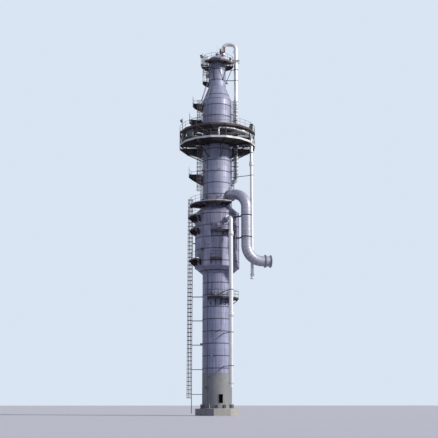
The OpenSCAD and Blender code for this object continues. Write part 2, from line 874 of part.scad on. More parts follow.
module upper_ladder() {
  r = middle_r + ladder_gap;
  rt = top_r + ladder_gap;
  z0 = transition_z - 100;
  z1 = top_z + 200;
  lean = atan2(r - rt, z1 - z0);
  run = norm([r - rt, z1 - z0]);
  color("gainsboro") {
    ladder_at(ladder_az, r, upper_ring_z + 2, z0 - 6);
    rotate([0, 0, ladder_az]) translate([0, -r, z0]) rotate([-lean, 0, 0]) rotate([0, 0, -ladder_az])
      ladder_at(ladder_az, 0, 0, run);
    ladder_at(ladder_az, rt, z1 + 6, top_deck_z + rail_h);
    cage_at(ladder_az, r, upper_ring_z + 1100, z0 - 6);
    cage_at(ladder_az, rt, top_z + 900, top_deck_z + rail_h);
    standoffs(ladder_az, middle_r, r, [for (z = [upper_ring_z + 500 : 950 : z0 - 100]) z]);
    standoffs(ladder_az, top_r, rt, [for (z = [z1 + 100 : 900 : head_z - 60]) z]);
  }
}

module front_ladder() {
  r = middle_r + ladder_gap;
  color("gainsboro") {
    ladder_at(front_ladder_az, r, front_ladder_z, transition_z - 100);
    cage_at(front_ladder_az, r, front_ladder_z + 900, transition_z - 100);
    standoffs(front_ladder_az, middle_r, r, [for (z = [front_ladder_z + 300 : 1150 : transition_z - 200]) z]);
  }
}

module overhead_line() {
  out = concat(polar(overhead_reach, overhead_az), 0);
  inner = concat(polar(overhead_in, overhead_az), 0);
  start_r = middle_r + 60;
  up = [0, 0, 1];
  away = concat(polar(1, overhead_az), 0);
  color("white") {
    nozzle(overhead_az, overhead_low_z, overhead_r, start_r, overhead_r + 50, 22);
    flange(away * (start_r + seat) + up * overhead_low_z, away, overhead_r + 50, 22);
    pipe([
      away * (start_r + seat) + up * overhead_low_z, out + up * overhead_low_z, out + up * overhead_top_z,
      inner + up * overhead_top_z, inner + up * (overhead_foot_z + seat)
    ], [overhead_r * 2, overhead_bend, overhead_bend], overhead_r);
    flange(inner + up * (overhead_foot_z + seat), up, overhead_r + 50, 22);
  }
}

module side_riser() {
  up = [0, 0, 1];
  top = up * riser_top_z;
  foot = concat(polar(riser_reach, riser_az), 0);
  turn = concat(polar(riser_reach, riser_turn_az), 0);
  away = concat(polar(1, riser_turn_az), 0);
  start_r = middle_r + 160;
  end_z = riser_end_z + spool_len + seat;
  color("white") {
    nozzle(riser_turn_az, riser_top_z, riser_r, start_r, riser_r + 55, 25);
    flange(away * (start_r + seat) + top, away, riser_r + 55, 25);
    pipe([away * (start_r + seat) + top, turn + top, foot + top, foot + up * end_z], [riser_bend, riser_bend], riser_r);
    flange(foot + up * end_z, up, riser_r + 55, 25);
    spool(foot + up * (riser_end_z + spool_len), -up, riser_r, spool_len, riser_r + 55, 25, 2 * riser_r + 64, 8, 9);
  }
}

module front_riser() {
  up = [0, 0, 1];
  top = up * front_top_z;
  foot = [front_x, front_y, 0];
  away = concat(polar(1, front_az), 0);
  start_r = wide_r + 150;
  end_z = front_end_z + spool_len + seat;
  color("white") {
    nozzle(front_az, front_top_z, front_r, start_r, front_r + 60, 28);
    flange(away * (start_r + seat) + top, away, front_r + 60, 28);
    pipe([away * (start_r + seat) + top, foot + top, foot + up * end_z], [front_bend], front_r);
    flange(foot + up * end_z, up, front_r + 60, 28);
    spool(foot + up * (front_end_z + spool_len), -up, front_r, spool_len, front_r + 60, 28, 2 * front_r + 70, 8, 10);
  }
}

module vapour_pipe() {
  away = concat(polar(1, vapour_az), 0);
  start_r = middle_r + 230;
  up = [0, 0, 1];
  out = [vapour_x, vapour_y, vapour_z];
  low = [vapour_x, vapour_y, vapour_low_z];
  end = [vapour_end_x, vapour_y, vapour_low_z];
  color("silver") {
    nozzle(vapour_az, vapour_z, vapour_r, start_r, vapour_r + 90, 50);
    flange(away * (start_r + seat) + up * vapour_z, away, vapour_r + 90, 50);
    pipe([away * (start_r + seat) + up * vapour_z, out, low, end], [vapour_bend, vapour_bend], vapour_r);
    flange(end - [40, 0, 0], [1, 0, 0], vapour_r + 90, 40);
  }
}

module vapour_spool() {
  color("silver")
    spool([vapour_end_x + seat, vapour_y, vapour_low_z], [1, 0, 0], vapour_r, vapour_spool, vapour_r + 90, 40,
      2 * vapour_r + 110, 12, 14);
}

module pipe_guides() {
  color("dimgray")
    on_column() {
      for (z = overhead_guides)
        guide(overhead_x, overhead_y, overhead_r, middle_z + z, 40, 60, middle_r, overhead_az);
      for (z = top_guides)
        guide(overhead_x, overhead_y, overhead_r, top_z + z, 40, 60, top_r, overhead_az);
      for (z = vapour_guides)
        guide(vapour_x, vapour_y, vapour_r, wide_z + z, 60, 260, wide_r, vapour_az);
      for (z = riser_guides)
        guide(riser_x, riser_y, riser_r, middle_z + z, 40, 50, middle_r, riser_foot_az);
      for (z = front_guides)
        guide(front_x, front_y, front_r, lower_z + z, 40, 80, lower_r, front_az);
    }
}

// A manway: neck, flange pair and blank cover
module manway(az, r, z) {
  rotate([0, 0, az]) translate([0, 0, z]) rotate([90, 0, 0]) {
    cylinder(r = 150, h = r + 150);
    translate([0, 0, r + 110]) cylinder(r = 205, h = 70);
    translate([0, 0, r + 110]) cylinder(r = 60, h = 100);
  }
}

module manways() {
  color("silver")
    on_column() {
      manway(-20, lower_r, lower_z + front_platform_z + 400);
      manway(-8, wide_r, wide_z + wide_platform_z + 400);
      manway(-25, middle_r, mid_deck_z + 430);
      manway(-20, middle_r, upper_ring_z + 430);
      manway(110, middle_r, lower_ring_z + 430);
      manway(-112, top_r, top_z + 1050);
    }
}

pedestal();
skirt();
anchor_chairs();
bottom_head();
lower_shell();
lower_cone();
wide_shell();
upper_cone();
middle_shell();
transition_cone();
top_shell();
top_head();
relief_valve();
top_deck();
top_rail();
davit();
upper_ring_deck();
upper_ring_rail();
ring_posts();
lower_ring_deck();
lower_ring_rail();
ring_brackets();
middle_deck();
middle_rail();
left_platform_1();
left_platform_2();
left_platform_3();
left_platform_4();
left_platform_5();
left_platform_6();
left_platform_7();
front_platform_1();
front_platform_2();
front_platform_3();
lower_ladder();
middle_ladder();
upper_ladder();
front_ladder();
overhead_line();
side_riser();
front_riser();
vapour_pipe();
vapour_spool();
pipe_guides();
manways();
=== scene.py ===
import math

import bpy
from mathutils import Matrix, Vector

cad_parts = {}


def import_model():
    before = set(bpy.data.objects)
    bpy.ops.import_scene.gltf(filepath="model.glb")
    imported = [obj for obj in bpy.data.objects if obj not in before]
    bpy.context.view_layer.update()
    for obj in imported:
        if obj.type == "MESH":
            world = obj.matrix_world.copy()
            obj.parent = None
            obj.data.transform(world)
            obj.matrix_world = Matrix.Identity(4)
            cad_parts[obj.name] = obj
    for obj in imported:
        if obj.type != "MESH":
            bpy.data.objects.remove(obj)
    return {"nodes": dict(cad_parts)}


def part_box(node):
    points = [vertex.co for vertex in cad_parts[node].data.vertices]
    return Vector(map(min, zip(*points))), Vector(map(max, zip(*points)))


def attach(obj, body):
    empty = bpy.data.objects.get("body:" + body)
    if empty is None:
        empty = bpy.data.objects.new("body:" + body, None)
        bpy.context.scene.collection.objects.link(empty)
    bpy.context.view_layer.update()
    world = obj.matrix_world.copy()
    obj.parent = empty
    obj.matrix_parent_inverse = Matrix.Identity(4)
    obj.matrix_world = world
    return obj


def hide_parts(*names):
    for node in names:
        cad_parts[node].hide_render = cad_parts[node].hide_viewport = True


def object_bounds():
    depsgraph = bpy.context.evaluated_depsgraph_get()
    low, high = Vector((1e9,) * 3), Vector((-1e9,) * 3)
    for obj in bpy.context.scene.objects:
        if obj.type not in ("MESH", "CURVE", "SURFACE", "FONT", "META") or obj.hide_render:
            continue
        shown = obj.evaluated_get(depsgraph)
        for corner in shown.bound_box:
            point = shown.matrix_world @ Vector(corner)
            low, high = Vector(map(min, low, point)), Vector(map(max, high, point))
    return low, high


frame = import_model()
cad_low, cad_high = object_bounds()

UP, RIGHT, BACK = Vector((0, 0, 1)), Vector((1, 0, 0)), Vector((0, 1, 0))

# Sizes of the model, in metres. Azimuths count from the front, -Y, towards the right, +X.
DECK_T = 0.016
JOIST_H = 0.084
DECK_H = DECK_T + JOIST_H
BEAM_W = 0.03
RAIL_H = 0.55
TOE_H = 0.06
ON_DECK = 0.004  # how high fittings stand over a deck's level
BAND_PITCH = 0.9
BAND_PROUD = 0.008
SHEET_W = 0.95
DECK_GAP = 0.04
CLEARANCE = BAND_PROUD + DECK_GAP
KNEE_INSET = 0.06
POST_GAP = 0.75
BAR_PITCH = 0.02
ROD_PITCH = 0.06
RAIL_R = 0.012
LADDER_AZ = -80
LOWER_LADDER_AZ = -106
FRONT_LADDER_AZ = 55
LADDER_GAP = 0.2
LADDER_W = 0.23
RUNG_PITCH = 0.15
HOOP_PITCH = 0.3
CAGE_DEPTH = 0.36
CAGE_W = 0.36
BUCKLE_AZ = -40


def low(node):
    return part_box(node)[0]


def high(node):
    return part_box(node)[1]


def section(node):
    """Radius of a clad section under its bands, and the heights of its ends."""
    return high(node)[0] - BAND_PROUD, low(node)[2], high(node)[2]


LOWER_R, LOWER_Z, LOWER_CONE_Z = section("lower_shell")
WIDE_R, WIDE_Z, UPPER_CONE_Z = section("wide_shell")
MIDDLE_R, MIDDLE_Z, TRANSITION_Z = section("middle_shell")
TOP_R, TOP_Z, HEAD_Z = section("top_shell")
PEDESTAL_H = high("pedestal")[2]
LOWER_RING_Z = high("lower_ring_deck")[2]
UPPER_RING_Z = high("upper_ring_deck")[2]
TOP_DECK_Z = high("top_deck")[2]
MID_DECK_Z = high("middle_deck")[2]
TOP_DECK_R = 1.325
MID_DECK_R = 2.15
RING_R = 3.0
RING_PANELS = 16
PANEL_A = 360 / RING_PANELS
HATCH_R = MIDDLE_R + LADDER_GAP + CAGE_DEPTH + 0.06


def polar(r, az, z=0.0):
    a = math.radians(az)
    return Vector((r * math.sin(a), -r * math.cos(a), z))


class Spot:
    """A place by its azimuth, radius and height, and places beside it: outward, sideways and up."""

    def __init__(self, az, r=0.0, z=0.0):
        self.out, self.side = polar(1, az), polar(1, az + 90)
        self.place = polar(r, az, z)

    def __call__(self, out=0.0, side=0.0, up=0.0):
        return self.place + self.out * out + self.side * side + UP * up


def steps(start, stop, pitch):
    return [start + i * pitch for i in range(int((stop - start) / pitch + 1e-6) + 1)]


def turns(count):
    return [2 * math.pi * i / count for i in range(count)]


def circle(p, d, r, count, x=None):
    """Points round the line through p along d, counted from the direction x."""
    d = d.normalized()
    x = x or d.orthogonal().normalized()
    y = d.cross(x)
    return [p + x * (r * math.cos(t)) + y * (r * math.sin(t)) for t in turns(count)]


# Node materials

def shade(colour, share):
    return tuple(share * c for c in colour)


class Nodes:
    """A material's node tree, with short calls to add to it, and its colour, built up in layers."""

    def __init__(self, name, base):
        self.mat = bpy.data.materials.new(name)
        self.mat.use_nodes = True
        self.tree = self.mat.node_tree
        self.shader = self.tree.nodes["Principled BSDF"]
        self.point = self.node("ShaderNodeTexCoord").outputs["Object"]
        self.base = self.colour = base

    def node(self, kind, inputs=(), **settings):
        made = self.tree.nodes.new(kind)
        for key, value in settings.items():
            setattr(made, key, value)
        for key, value in dict(inputs).items():
            self.link(value, made.inputs[key])
        return made

    def link(self, source, target):
        """Joins a socket to an input, or sets the input to a number or a colour."""
        if hasattr(source, "is_output"):
            self.tree.links.new(source, target)
        else:
            target.default_value = (*source, 1) if target.type == "RGBA" else source

    def math(self, operation, *values):
        return self.node("ShaderNodeMath", enumerate(values), operation=operation).outputs[0]

    def axes(self):
        return self.node("ShaderNodeSeparateXYZ", {0: self.point}).outputs

    def noise(self, scale, detail=4.0, stretch=(1, 1, 1), rough=0.55):
        place = self.node("ShaderNodeMapping", {"Vector": self.point, "Scale": stretch}).outputs[0]
        inputs = {"Vector": place, "Scale": scale, "Detail": detail, "Roughness": rough}
        return self.node("ShaderNodeTexNoise", inputs).outputs["Fac"]

    def ramp(self, value, low_at, high_at):
        """How far a value has come from low_at to high_at."""
        inputs = {"Value": value, "From Min": low_at, "From Max": high_at}
        return self.node("ShaderNodeMapRange", inputs, clamp=True).outputs[0]

    def layer(self, share, strength, over):
        """Lays a colour, or the base colour at a share of its tone, over what is there."""
        over = over if isinstance(over, tuple) else shade(self.base, over)
        amount = self.math("MULTIPLY", share, strength)
        made = self.node("ShaderNodeMix", {0: amount, 6: self.colour, 7: over}, data_type="RGBA")
        self.colour = made.outputs[2]

    def bump(self, height, strength, distance):
        made = self.node("ShaderNodeBump", {"Strength": strength, "Distance": distance, "Height": height})
        self.link(made.outputs[0], self.shader.inputs["Normal"])

    def finish(self, roughness, metallic=0.0):
        for key, value in (("Base Color", self.colour), ("Roughness", roughness), ("Metallic", metallic)):
            self.link(value, self.shader.inputs[key])
        return self.mat


def sheet_cells(m, first_z, sheet_h, sheet_count):
    """Row and column of the jacketing sheet at each point of an upright tube, and the point's place in it."""
    x, y, z = m.axes()
    rows = m.math("DIVIDE", m.math("SUBTRACT", z, first_z), sheet_h)
    row = m.math("FLOOR", rows)
    stagger = m.math("MULTIPLY", m.math("FLOORED_MODULO", row, 2.0), 0.5)
    turn = m.math("MULTIPLY", m.math("ARCTAN2", y, x), sheet_count / (2 * math.pi))
    columns = m.math("ADD", turn, stagger)
    column = m.math("FLOOR", columns)
    return row, column, m.math("SUBTRACT", rows, row), m.math("SUBTRACT", columns, column)


def band_seam_and_shade(m, first_z):
    """A dark line over and under each band of the cladding: a dark joint at the band, with painted shade of
    the band.
    """
    bands = m.math("DIVIDE", m.math("SUBTRACT", m.axes()[2], first_z - BAND_PITCH / 2), BAND_PITCH)
    off = m.math("ABSOLUTE", m.math("SUBTRACT", m.math("FRACT", bands), 0.5))
    ragged = m.math("MULTIPLY_ADD", m.noise(3.0, 3.0), 0.03, 0.025)
    return m.ramp(off, m.math("ADD", ragged, 0.012), ragged)


def cladding(name, radius, first_z, base, dark, streaks=0.42):
    """Weathered aluminium jacketing: sheets of slightly different tone, dirty laps, streaks, dents, and
    painted shade along each band.
    """
    m = Nodes(name, base)
    count = max(6, round(2 * math.pi * radius / SHEET_W))
    row, column, up_in, along_in = sheet_cells(m, first_z, BAND_PITCH / 2, count)
    sheet = m.node("ShaderNodeCombineXYZ", {0: row, 1: column}).outputs[0]
    chance = m.node("ShaderNodeTexWhiteNoise", {"Vector": sheet}, noise_dimensions="3D")
    tone = m.ramp(chance.outputs["Value"], 0.0, 1.0)
    streak = m.ramp(m.noise(5.0, 5.0, (2.2, 2.2, 0.10)), 0.42, 0.72)
    lap = m.math("MAXIMUM", m.ramp(up_in, 0.045, 0.0), m.ramp(along_in, 0.016, 0.0))
    m.layer(tone, 0.55, 0.80)
    m.layer(m.ramp(m.noise(0.55), 0.35, 0.68), 0.35, 0.86)
    m.layer(streak, streaks, dark)
    m.layer(m.ramp(m.noise(2.6, 6.0, (1, 1, 0.45)), 0.56, 0.74), 0.30, STAIN)
    m.layer(lap, 0.62, shade(dark, 0.42))
    # Painted shade along each band, over its dark joint.
    m.layer(band_seam_and_shade(m, first_z), 0.85, BAND_JOINT_AND_SHADE)
    dent = m.math("MULTIPLY", m.noise(1.5, 2.0, (1, 1, 0.7)), 0.6)
    m.bump(m.math("MULTIPLY_ADD", lap, -0.35, dent), 0.35, 0.03)
    tone_gloss = m.math("MULTIPLY_ADD", tone, 0.10, CLAD_ROUGHNESS)
    return m.finish(m.math("MULTIPLY_ADD", streak, 0.16, tone_gloss), 0.25)


def pipe_jacket(name, base, dark, roughness=0.34, metallic=0.4):
    """Jacketing on a pipe, with stains that run down."""
    m = Nodes(name, base)
    streak = m.ramp(m.noise(6.0, 5.0, (1.6, 1.6, 0.16)), 0.48, 0.78)
    cloud = m.ramp(m.noise(1.1), 0.40, 0.70)
    m.layer(cloud, 0.45, 0.86)
    m.layer(streak, 0.38, dark)
    m.layer(m.ramp(m.noise(9.0, 6.0), 0.60, 0.72), 0.22, PIPE_SPOT)
    m.bump(m.noise(2.2, 2.0), 0.25, 0.02)
    return m.finish(m.math("MULTIPLY_ADD", m.math("ADD", streak, cloud), 0.10, roughness), metallic)


def old_steel(name, base, rust, amount, roughness=0.62):
    """Painted or bare steel with rust that starts in patches."""
    m = Nodes(name, base)
    patch = m.ramp(m.noise(3.4, 7.0, rough=0.7), 0.66 - amount * 0.35, 0.74)
    grain = m.ramp(m.noise(30.0), 0.35, 0.75)
    m.layer(m.ramp(m.noise(0.9, 3.0), 0.35, 0.70), 0.5, tuple(min(1.0, 1.5 * c + 0.015) for c in base))
    m.layer(grain, 0.25, 0.6)
    m.layer(patch, 0.8, rust)
    m.bump(m.math("ADD", grain, patch), 0.30, 0.004)
    return m.finish(m.math("MULTIPLY_ADD", patch, 0.2, roughness), 0.15)


def galvanised(name, base, roughness=0.48, metallic=0.45):
    """Hot-dip galvanised steel with its spangle and dull patches."""
    m = Nodes(name, base)
    cells = m.node("ShaderNodeTexVoronoi", {"Vector": m.point, "Scale": 60.0})
    spangle = m.ramp(cells.outputs["Color"], 0.0, 1.0)
    dull = m.ramp(m.noise(2.0, 5.0), 0.40, 0.68)
    m.layer(spangle, 0.30, 0.82)
    m.layer(dull, 0.40, 0.70)
    m.layer(m.ramp(m.noise(7.0, 6.0, rough=0.7), 0.64, 0.74), 0.45, ZINC_RUST)
    m.bump(spangle, 0.12, 0.002)
    return m.finish(m.math("MULTIPLY_ADD", dull, 0.18, roughness), metallic)


def concrete(name, base):
    """Cast concrete: board marks, air holes, stains that run down from the top."""
    m = Nodes(name, base)
    board = m.math("FRACT", m.math("DIVIDE", m.axes()[2], 0.1))
    seam = m.ramp(m.math("ABSOLUTE", m.math("SUBTRACT", board, 0.5)), 0.46, 0.5)
    grain = m.ramp(m.noise(24.0, 8.0, rough=0.7), 0.30, 0.72)
    pits = m.math("MAXIMUM", m.ramp(m.noise(42.0, 3.0), 0.70, 0.76), seam)
    m.layer(grain, 0.5, (0.38, 0.36, 0.33))
    m.layer(m.ramp(m.noise(1.2, 5.0), 0.35, 0.68), 0.4, (0.60, 0.58, 0.54))
    m.layer(m.ramp(m.noise(5.0, 5.0, (1.5, 1.5, 0.2)), 0.48, 0.72), 0.45, (0.25, 0.22, 0.19))
    m.layer(pits, 0.5, (0.20, 0.19, 0.17))
    m.bump(m.math("SUBTRACT", m.math("MULTIPLY", grain, 0.4), pits), 0.5, 0.008)
    return m.finish(0.88)


CLAD_BASE = (0.39, 0.405, 0.53)
CLAD_DARK = (0.17, 0.17, 0.27)
CLAD_ROUGHNESS = 0.46
STREAK_DARK = (0.15, 0.14, 0.19)
STAIN = (0.24, 0.21, 0.21)
# Colour of the line at each band: its dark joint, with painted shade of the band.
BAND_JOINT_AND_SHADE = (0.07, 0.07, 0.10)
PIPE_SPOT = (0.33, 0.25, 0.20)
ZINC_RUST = (0.26, 0.15, 0.09)
RUST = (0.12, 0.05, 0.03)

LOWER_CLAD = cladding("lower_cladding", LOWER_R, LOWER_Z + 0.4, (0.385, 0.40, 0.56), STREAK_DARK, 0.8)
WIDE_CLAD = cladding("wide_cladding", WIDE_R, WIDE_Z + 0.4, (0.405, 0.405, 0.55), STREAK_DARK, 0.8)
MIDDLE_CLAD = cladding("middle_cladding", MIDDLE_R, MIDDLE_Z + 0.9, CLAD_BASE, CLAD_DARK)
TOP_CLAD = cladding("top_cladding", TOP_R, TOP_Z + 0.5, CLAD_BASE, CLAD_DARK)
PALE_PIPE = pipe_jacket("pale_pipe_jacket", (0.86, 0.86, 0.85), (0.48, 0.48, 0.50))
VAPOUR_PIPE = pipe_jacket("vapour_pipe_jacket", (0.475, 0.47, 0.555), (0.24, 0.23, 0.31), 0.42, 0.25)
LENS = pipe_jacket("lamp_glass", (0.62, 0.66, 0.70), (0.35, 0.38, 0.42), 0.12, 0.0)
BAND_METAL = galvanised("band_metal", (0.70, 0.71, 0.73), 0.34, 0.6)
RAIL_STEEL = galvanised("handrail_steel", (0.19, 0.18, 0.19))
DAVIT_PAINT = galvanised("davit_paint", (0.80, 0.80, 0.78), 0.5, 0.1)
TOE_STEEL = galvanised("toe_plate_steel", (0.78, 0.77, 0.75), 0.5, 0.2)
NOZZLE_METAL = galvanised("nozzle_metal", (0.34, 0.34, 0.38), 0.45, 0.3)
SEAM_METAL = galvanised("seam_metal", (0.22, 0.22, 0.27), 0.5, 0.5)
BOLT_STEEL = galvanised("bolt_steel", (0.33, 0.32, 0.31), 0.42)
DARK_STEEL = old_steel("dark_steel", (0.030, 0.026, 0.034), (0.11, 0.04, 0.025), 0.35, 0.72)
GRATE_STEEL = old_steel("grating_steel", (0.040, 0.036, 0.040), RUST, 0.3, 0.75)
GREY_STEEL = old_steel("grey_painted_steel", (0.27, 0.275, 0.28), (0.22, 0.10, 0.06), 0.2)
RUSTY_EDGE = old_steel("rusty_edge", (0.075, 0.062, 0.072), (0.17, 0.06, 0.035), 0.6)
# Darker rail steel: painted shade on the handrails and toe plates of the landings that take it; the ring
# valve's handwheel takes it as its own dark steel.
DARK_STEEL_AND_RAIL_SHADE = old_steel("dark_steel_and_painted_rail_shade", (0.05, 0.045, 0.055), (0.13, 0.05, 0.03), 0.3)
LADDER_STEEL = old_steel("ladder_steel", (0.17, 0.135, 0.155), (0.20, 0.085, 0.055), 0.5)
# The front ladder's steel, darker and bluer than the other ladders: painted shade standing for the shadow
# round it.
FRONT_LADDER_PAINTED_SHADE = old_steel("front_ladder_painted_shade", (0.065, 0.058, 0.085), (0.13, 0.06, 0.05), 0.4)
VALVE_PAINT = old_steel("valve_paint", (0.13, 0.022, 0.018), (0.07, 0.035, 0.025), 0.25, 0.5)
CABINET_PAINT = old_steel("cabinet_paint", (0.045, 0.065, 0.062), (0.10, 0.05, 0.03), 0.1, 0.5)
LAMP_PAINT = old_steel("lamp_paint", (0.06, 0.06, 0.075), (0.12, 0.06, 0.04), 0.15, 0.5)
CONCRETE = concrete("pedestal_concrete", (0.46, 0.44, 0.41))

for material, nodes in (
    (CONCRETE, "pedestal"), (GREY_STEEL, "skirt anchor_chairs bottom_head"),
    (LOWER_CLAD, "lower_shell lower_cone"), (WIDE_CLAD, "wide_shell upper_cone"),
    (MIDDLE_CLAD, "middle_shell transition_cone"), (TOP_CLAD, "top_shell top_head"),
    (PALE_PIPE, "overhead_line side_riser front_riser"), (DAVIT_PAINT, "davit"),
    (VAPOUR_PIPE, "vapour_pipe vapour_spool manways"), (VALVE_PAINT, "relief_valve"),
    (DARK_STEEL, "pipe_guides ring_posts"),
):
    for node in nodes.split():
        mesh = frame["nodes"][node].data
        mesh.materials.clear()
        mesh.materials.append(material)


# Pieces, built face by face

def placed(name, data):
    """An object with this data, in the scene."""
    made = bpy.data.objects.new(name, data)
    bpy.context.scene.collection.objects.link(made)
    return made


class Piece:
    """Gathers the faces of one piece, each with its material, and makes the mesh."""

    def __init__(self, name, slot, *materials):
        self.name, self.slot, self.materials = name, slot, materials
        self.verts, self.faces, self.kinds, self.smooth = [], [], [], []
        self.kind = 0

    def add(self, verts, faces, smooth=False):
        base = len(self.verts)
        self.verts.extend(tuple(v) for v in verts)
        for face in faces:
            self.faces.append([base + i for i in face])
            self.kinds.append(self.kind)
            self.smooth.append(smooth)

    def loft(self, rings, smooth=False, closed=False):
        """Joins rings of points into a skin, with flat ends unless it closes on itself."""
        n = len(rings[0])
        faces = []
        for k in range(len(rings) if closed else len(rings) - 1):
            a, b = k * n, (k + 1) % len(rings) * n
            for i in range(n):
                j = (i + 1) % n
                faces.append((a + i, a + j, b + j, b + i))
        self.add([v for ring in rings for v in ring], faces, smooth)
        if not closed:
            self.add(rings[0], [tuple(reversed(range(n)))])
            self.add(rings[-1], [tuple(range(n))])

    def beam(self, p, q, profile, up=UP):
        """A straight bar: profile points count sideways and up from the line p to q."""
        along = (q - p).normalized()
        side = along.cross(up).normalized()
        top = side.cross(along)
        self.loft([[end + side * a + top * b for a, b in profile] for end in (p, q)])

    def rod(self, p, q, r, sides=8):
        self.loft([circle(end, q - p, r, sides) for end in (p, q)], smooth=True)

    def sweep(self, points, profile, up=UP, closed=False, smooth=False):
        """A bar that follows a line of points with mitred corners."""
        rings = []
        last = len(points) - 1
        for i, p in enumerate(points):
            before = points[i - 1] if i or closed else p
            after = points[(i + 1) % len(points)] if i < last or closed else p
            a = (p - before).normalized() if before != p else (after - p).normalized()
            b = (after - p).normalized() if after != p else a
            along = (a + b).normalized()
            side = along.cross(up).normalized()
            top = side.cross(along)
            stretch = 1 / max(0.3, math.sqrt((1 + a.dot(b)) / 2))
            level = abs((b - a).dot(side)) >= abs((b - a).dot(top))
            wide, tall = (stretch, 1) if level else (1, stretch)
            rings.append([p + side * (x * wide) + top * (y * tall) for x, y in profile])
        self.loft(rings, smooth, closed)

    def turned(self, p, d, outline, sides=16, smooth=False):
        """A turned shape: outline is its radius and its distance along d from p."""
        d = d.normalized()
        self.loft([circle(p + d * h, d, r, sides) for r, h in outline], smooth)

    def hoop(self, p, d, r0, r1, half, sides=48):
        """A flat ring round the line p, d."""
        d = d.normalized()
        corners = [circle(p + d * h, d, r, sides) for r, h in rect(r0, r1, -half, half)]
        self.loft(list(zip(*corners)), closed=True)

    def bolt(self, p, d, size):
        """A hexagon nut with its washer and stud end, seated at p."""
        for sides, r0, h0, r1, h1 in (
            (12, 1.15, 0, 1.15, 0.25), (6, 0.95, 0.25, 0.95, 1.05), (8, 0.5, 1.05, 0.42, 1.55),
        ):
            self.turned(p, d, [(r0 * size, h0 * size), (r1 * size, h1 * size)], sides)

    def make(self, *replaced):
        mesh = bpy.data.meshes.new(self.name)
        mesh.from_pydata(self.verts, [], self.faces)
        for material in self.materials:
            mesh.materials.append(material)
        mesh.polygons.foreach_set("material_index", self.kinds)
        mesh.polygons.foreach_set("use_smooth", self.smooth)
        mesh.update()
        made = placed(self.name, mesh)
        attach(made, "root")
        if replaced:
            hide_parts(*replaced)


def rect(a0, a1, b0, b1):
    return [(a0, b0), (a1, b0), (a1, b1), (a0, b1)]


def flat(a, b):
    """A rectangle of half width a and half height b."""
    return rect(-a, a, -b, b)


def round_bar(r, sides=8):
    return [(r * math.cos(t), r * math.sin(t)) for t in turns(sides)]


def across(p, d, half):
    """Both ends of a stretch along d with its middle at p."""
    return p - d * half, p + d * half


def i_section(w, h, t):
    """An I-beam's outline, centred on its line."""
    a, b = w / 2, h / 2
    return [(-a, -b), (a, -b), (a, -b + t), (t / 2, -b + t), (t / 2, b - t), (a, b - t), (a, b),
            (-a, b), (-a, b - t), (-t / 2, b - t), (-t / 2, -b + t), (-a, -b + t)]


def channel(w, h, t):
    """A channel's outline: its web outside at zero, its flanges inward, its top at zero."""
    return [(0, -h), (0, 0), (-w, 0), (-w, -t), (-t, -t), (-t, -h + t), (-w, -h + t), (-w, -h)]


# Platforms

def spans(a, b, at, holes):
    """What round holes (across, along, radius) leave of the stretch from a to b on the line at."""
    left = [(a, b)]
    for line, middle, r in holes:
        if abs(at - line) < r:
            half = math.sqrt(r * r - (at - line) ** 2)
            ends = middle - half, middle + half
            left = [s for x, y in left for s in ((x, min(y, ends[0])), (max(x, ends[1]), y))
                    if s[1] - s[0] > 0.01]
    return left


def grating(piece, r0, r1, az0, az1, z, holes):
    """Bearing bars across a deck panel and rods along it, cut round the holes (place, radius)."""
    at = Spot((az0 + az1) / 2, 0, z)
    half = math.radians((az1 - az0) / 2)
    near, far = r0 * math.cos(half), (r1 - BEAM_W) * math.cos(half) - 0.002
    spots = [(place.dot(at.out), place.dot(at.side), r) for place, r in holes]
    count = int((far - near) / BAR_PITCH)
    for k in range(count + 1):
        d = near + 0.002 + k * (far - near - 0.004) / count
        end = d * math.tan(half) - 0.004
        for a, b in spans(-end, end, d, spots):
            piece.beam(at(d, a), at(d, b), rect(-0.0016, 0.0016, -DECK_T, 0))
    reach = int(far * math.tan(half) / ROD_PITCH)
    for k in range(-reach, reach + 1):
        s = k * ROD_PITCH
        start = max(near, abs(s) / math.tan(half) + 0.006)
        for a, b in spans(start, far, s, [(side, out, r) for out, side, r in spots]):
            piece.beam(at(a, s), at(b, s), rect(-0.002, 0.002, -0.004, 0.0005))
    for out, side, r in spots:
        if near < out < far and abs(side) < out * math.tan(half):
            piece.hoop(at(out, side, 0.012), UP, r - 0.004, r, 0.028, 32)


def inset(i, last, by):
    """How far the first and the last line of a part-round deck move inward."""
    return by if i == 0 else -by if i == last else 0.0


def deck(piece, azimuths, starts, r1, z, holes, closed, edge_kind):
    """Grating, joists and a channel edge. starts holds the inner radius of each bay."""
    for i, r0 in enumerate(starts):
        grating(piece, r0, r1, azimuths[i], azimuths[i + 1], z, holes)
    piece.kind = 1
    lines = azimuths[:-1] if closed else azimuths
    for i, az in enumerate(lines):
        at = Spot(az, 0, z - DECK_T - JOIST_H / 2)
        shift = 0.0 if closed else inset(i, len(lines) - 1, BEAM_W / 2 + 0.002)
        piece.beam(at(min(starts), shift), at(r1 - BEAM_W, shift), i_section(BEAM_W, JOIST_H, 0.005))
    piece.kind = edge_kind
    piece.sweep([polar(r1, az, z) for az in lines], channel(BEAM_W, DECK_H, 0.005), closed=closed)
    piece.kind = 1
    for i, r0 in enumerate(starts):
        ends = [polar(r0, az, z - DECK_T) for az in (azimuths[i] + 0.3, azimuths[i + 1] - 0.3)]
        piece.beam(*ends, rect(-0.005, 0.03, -0.03, 0))


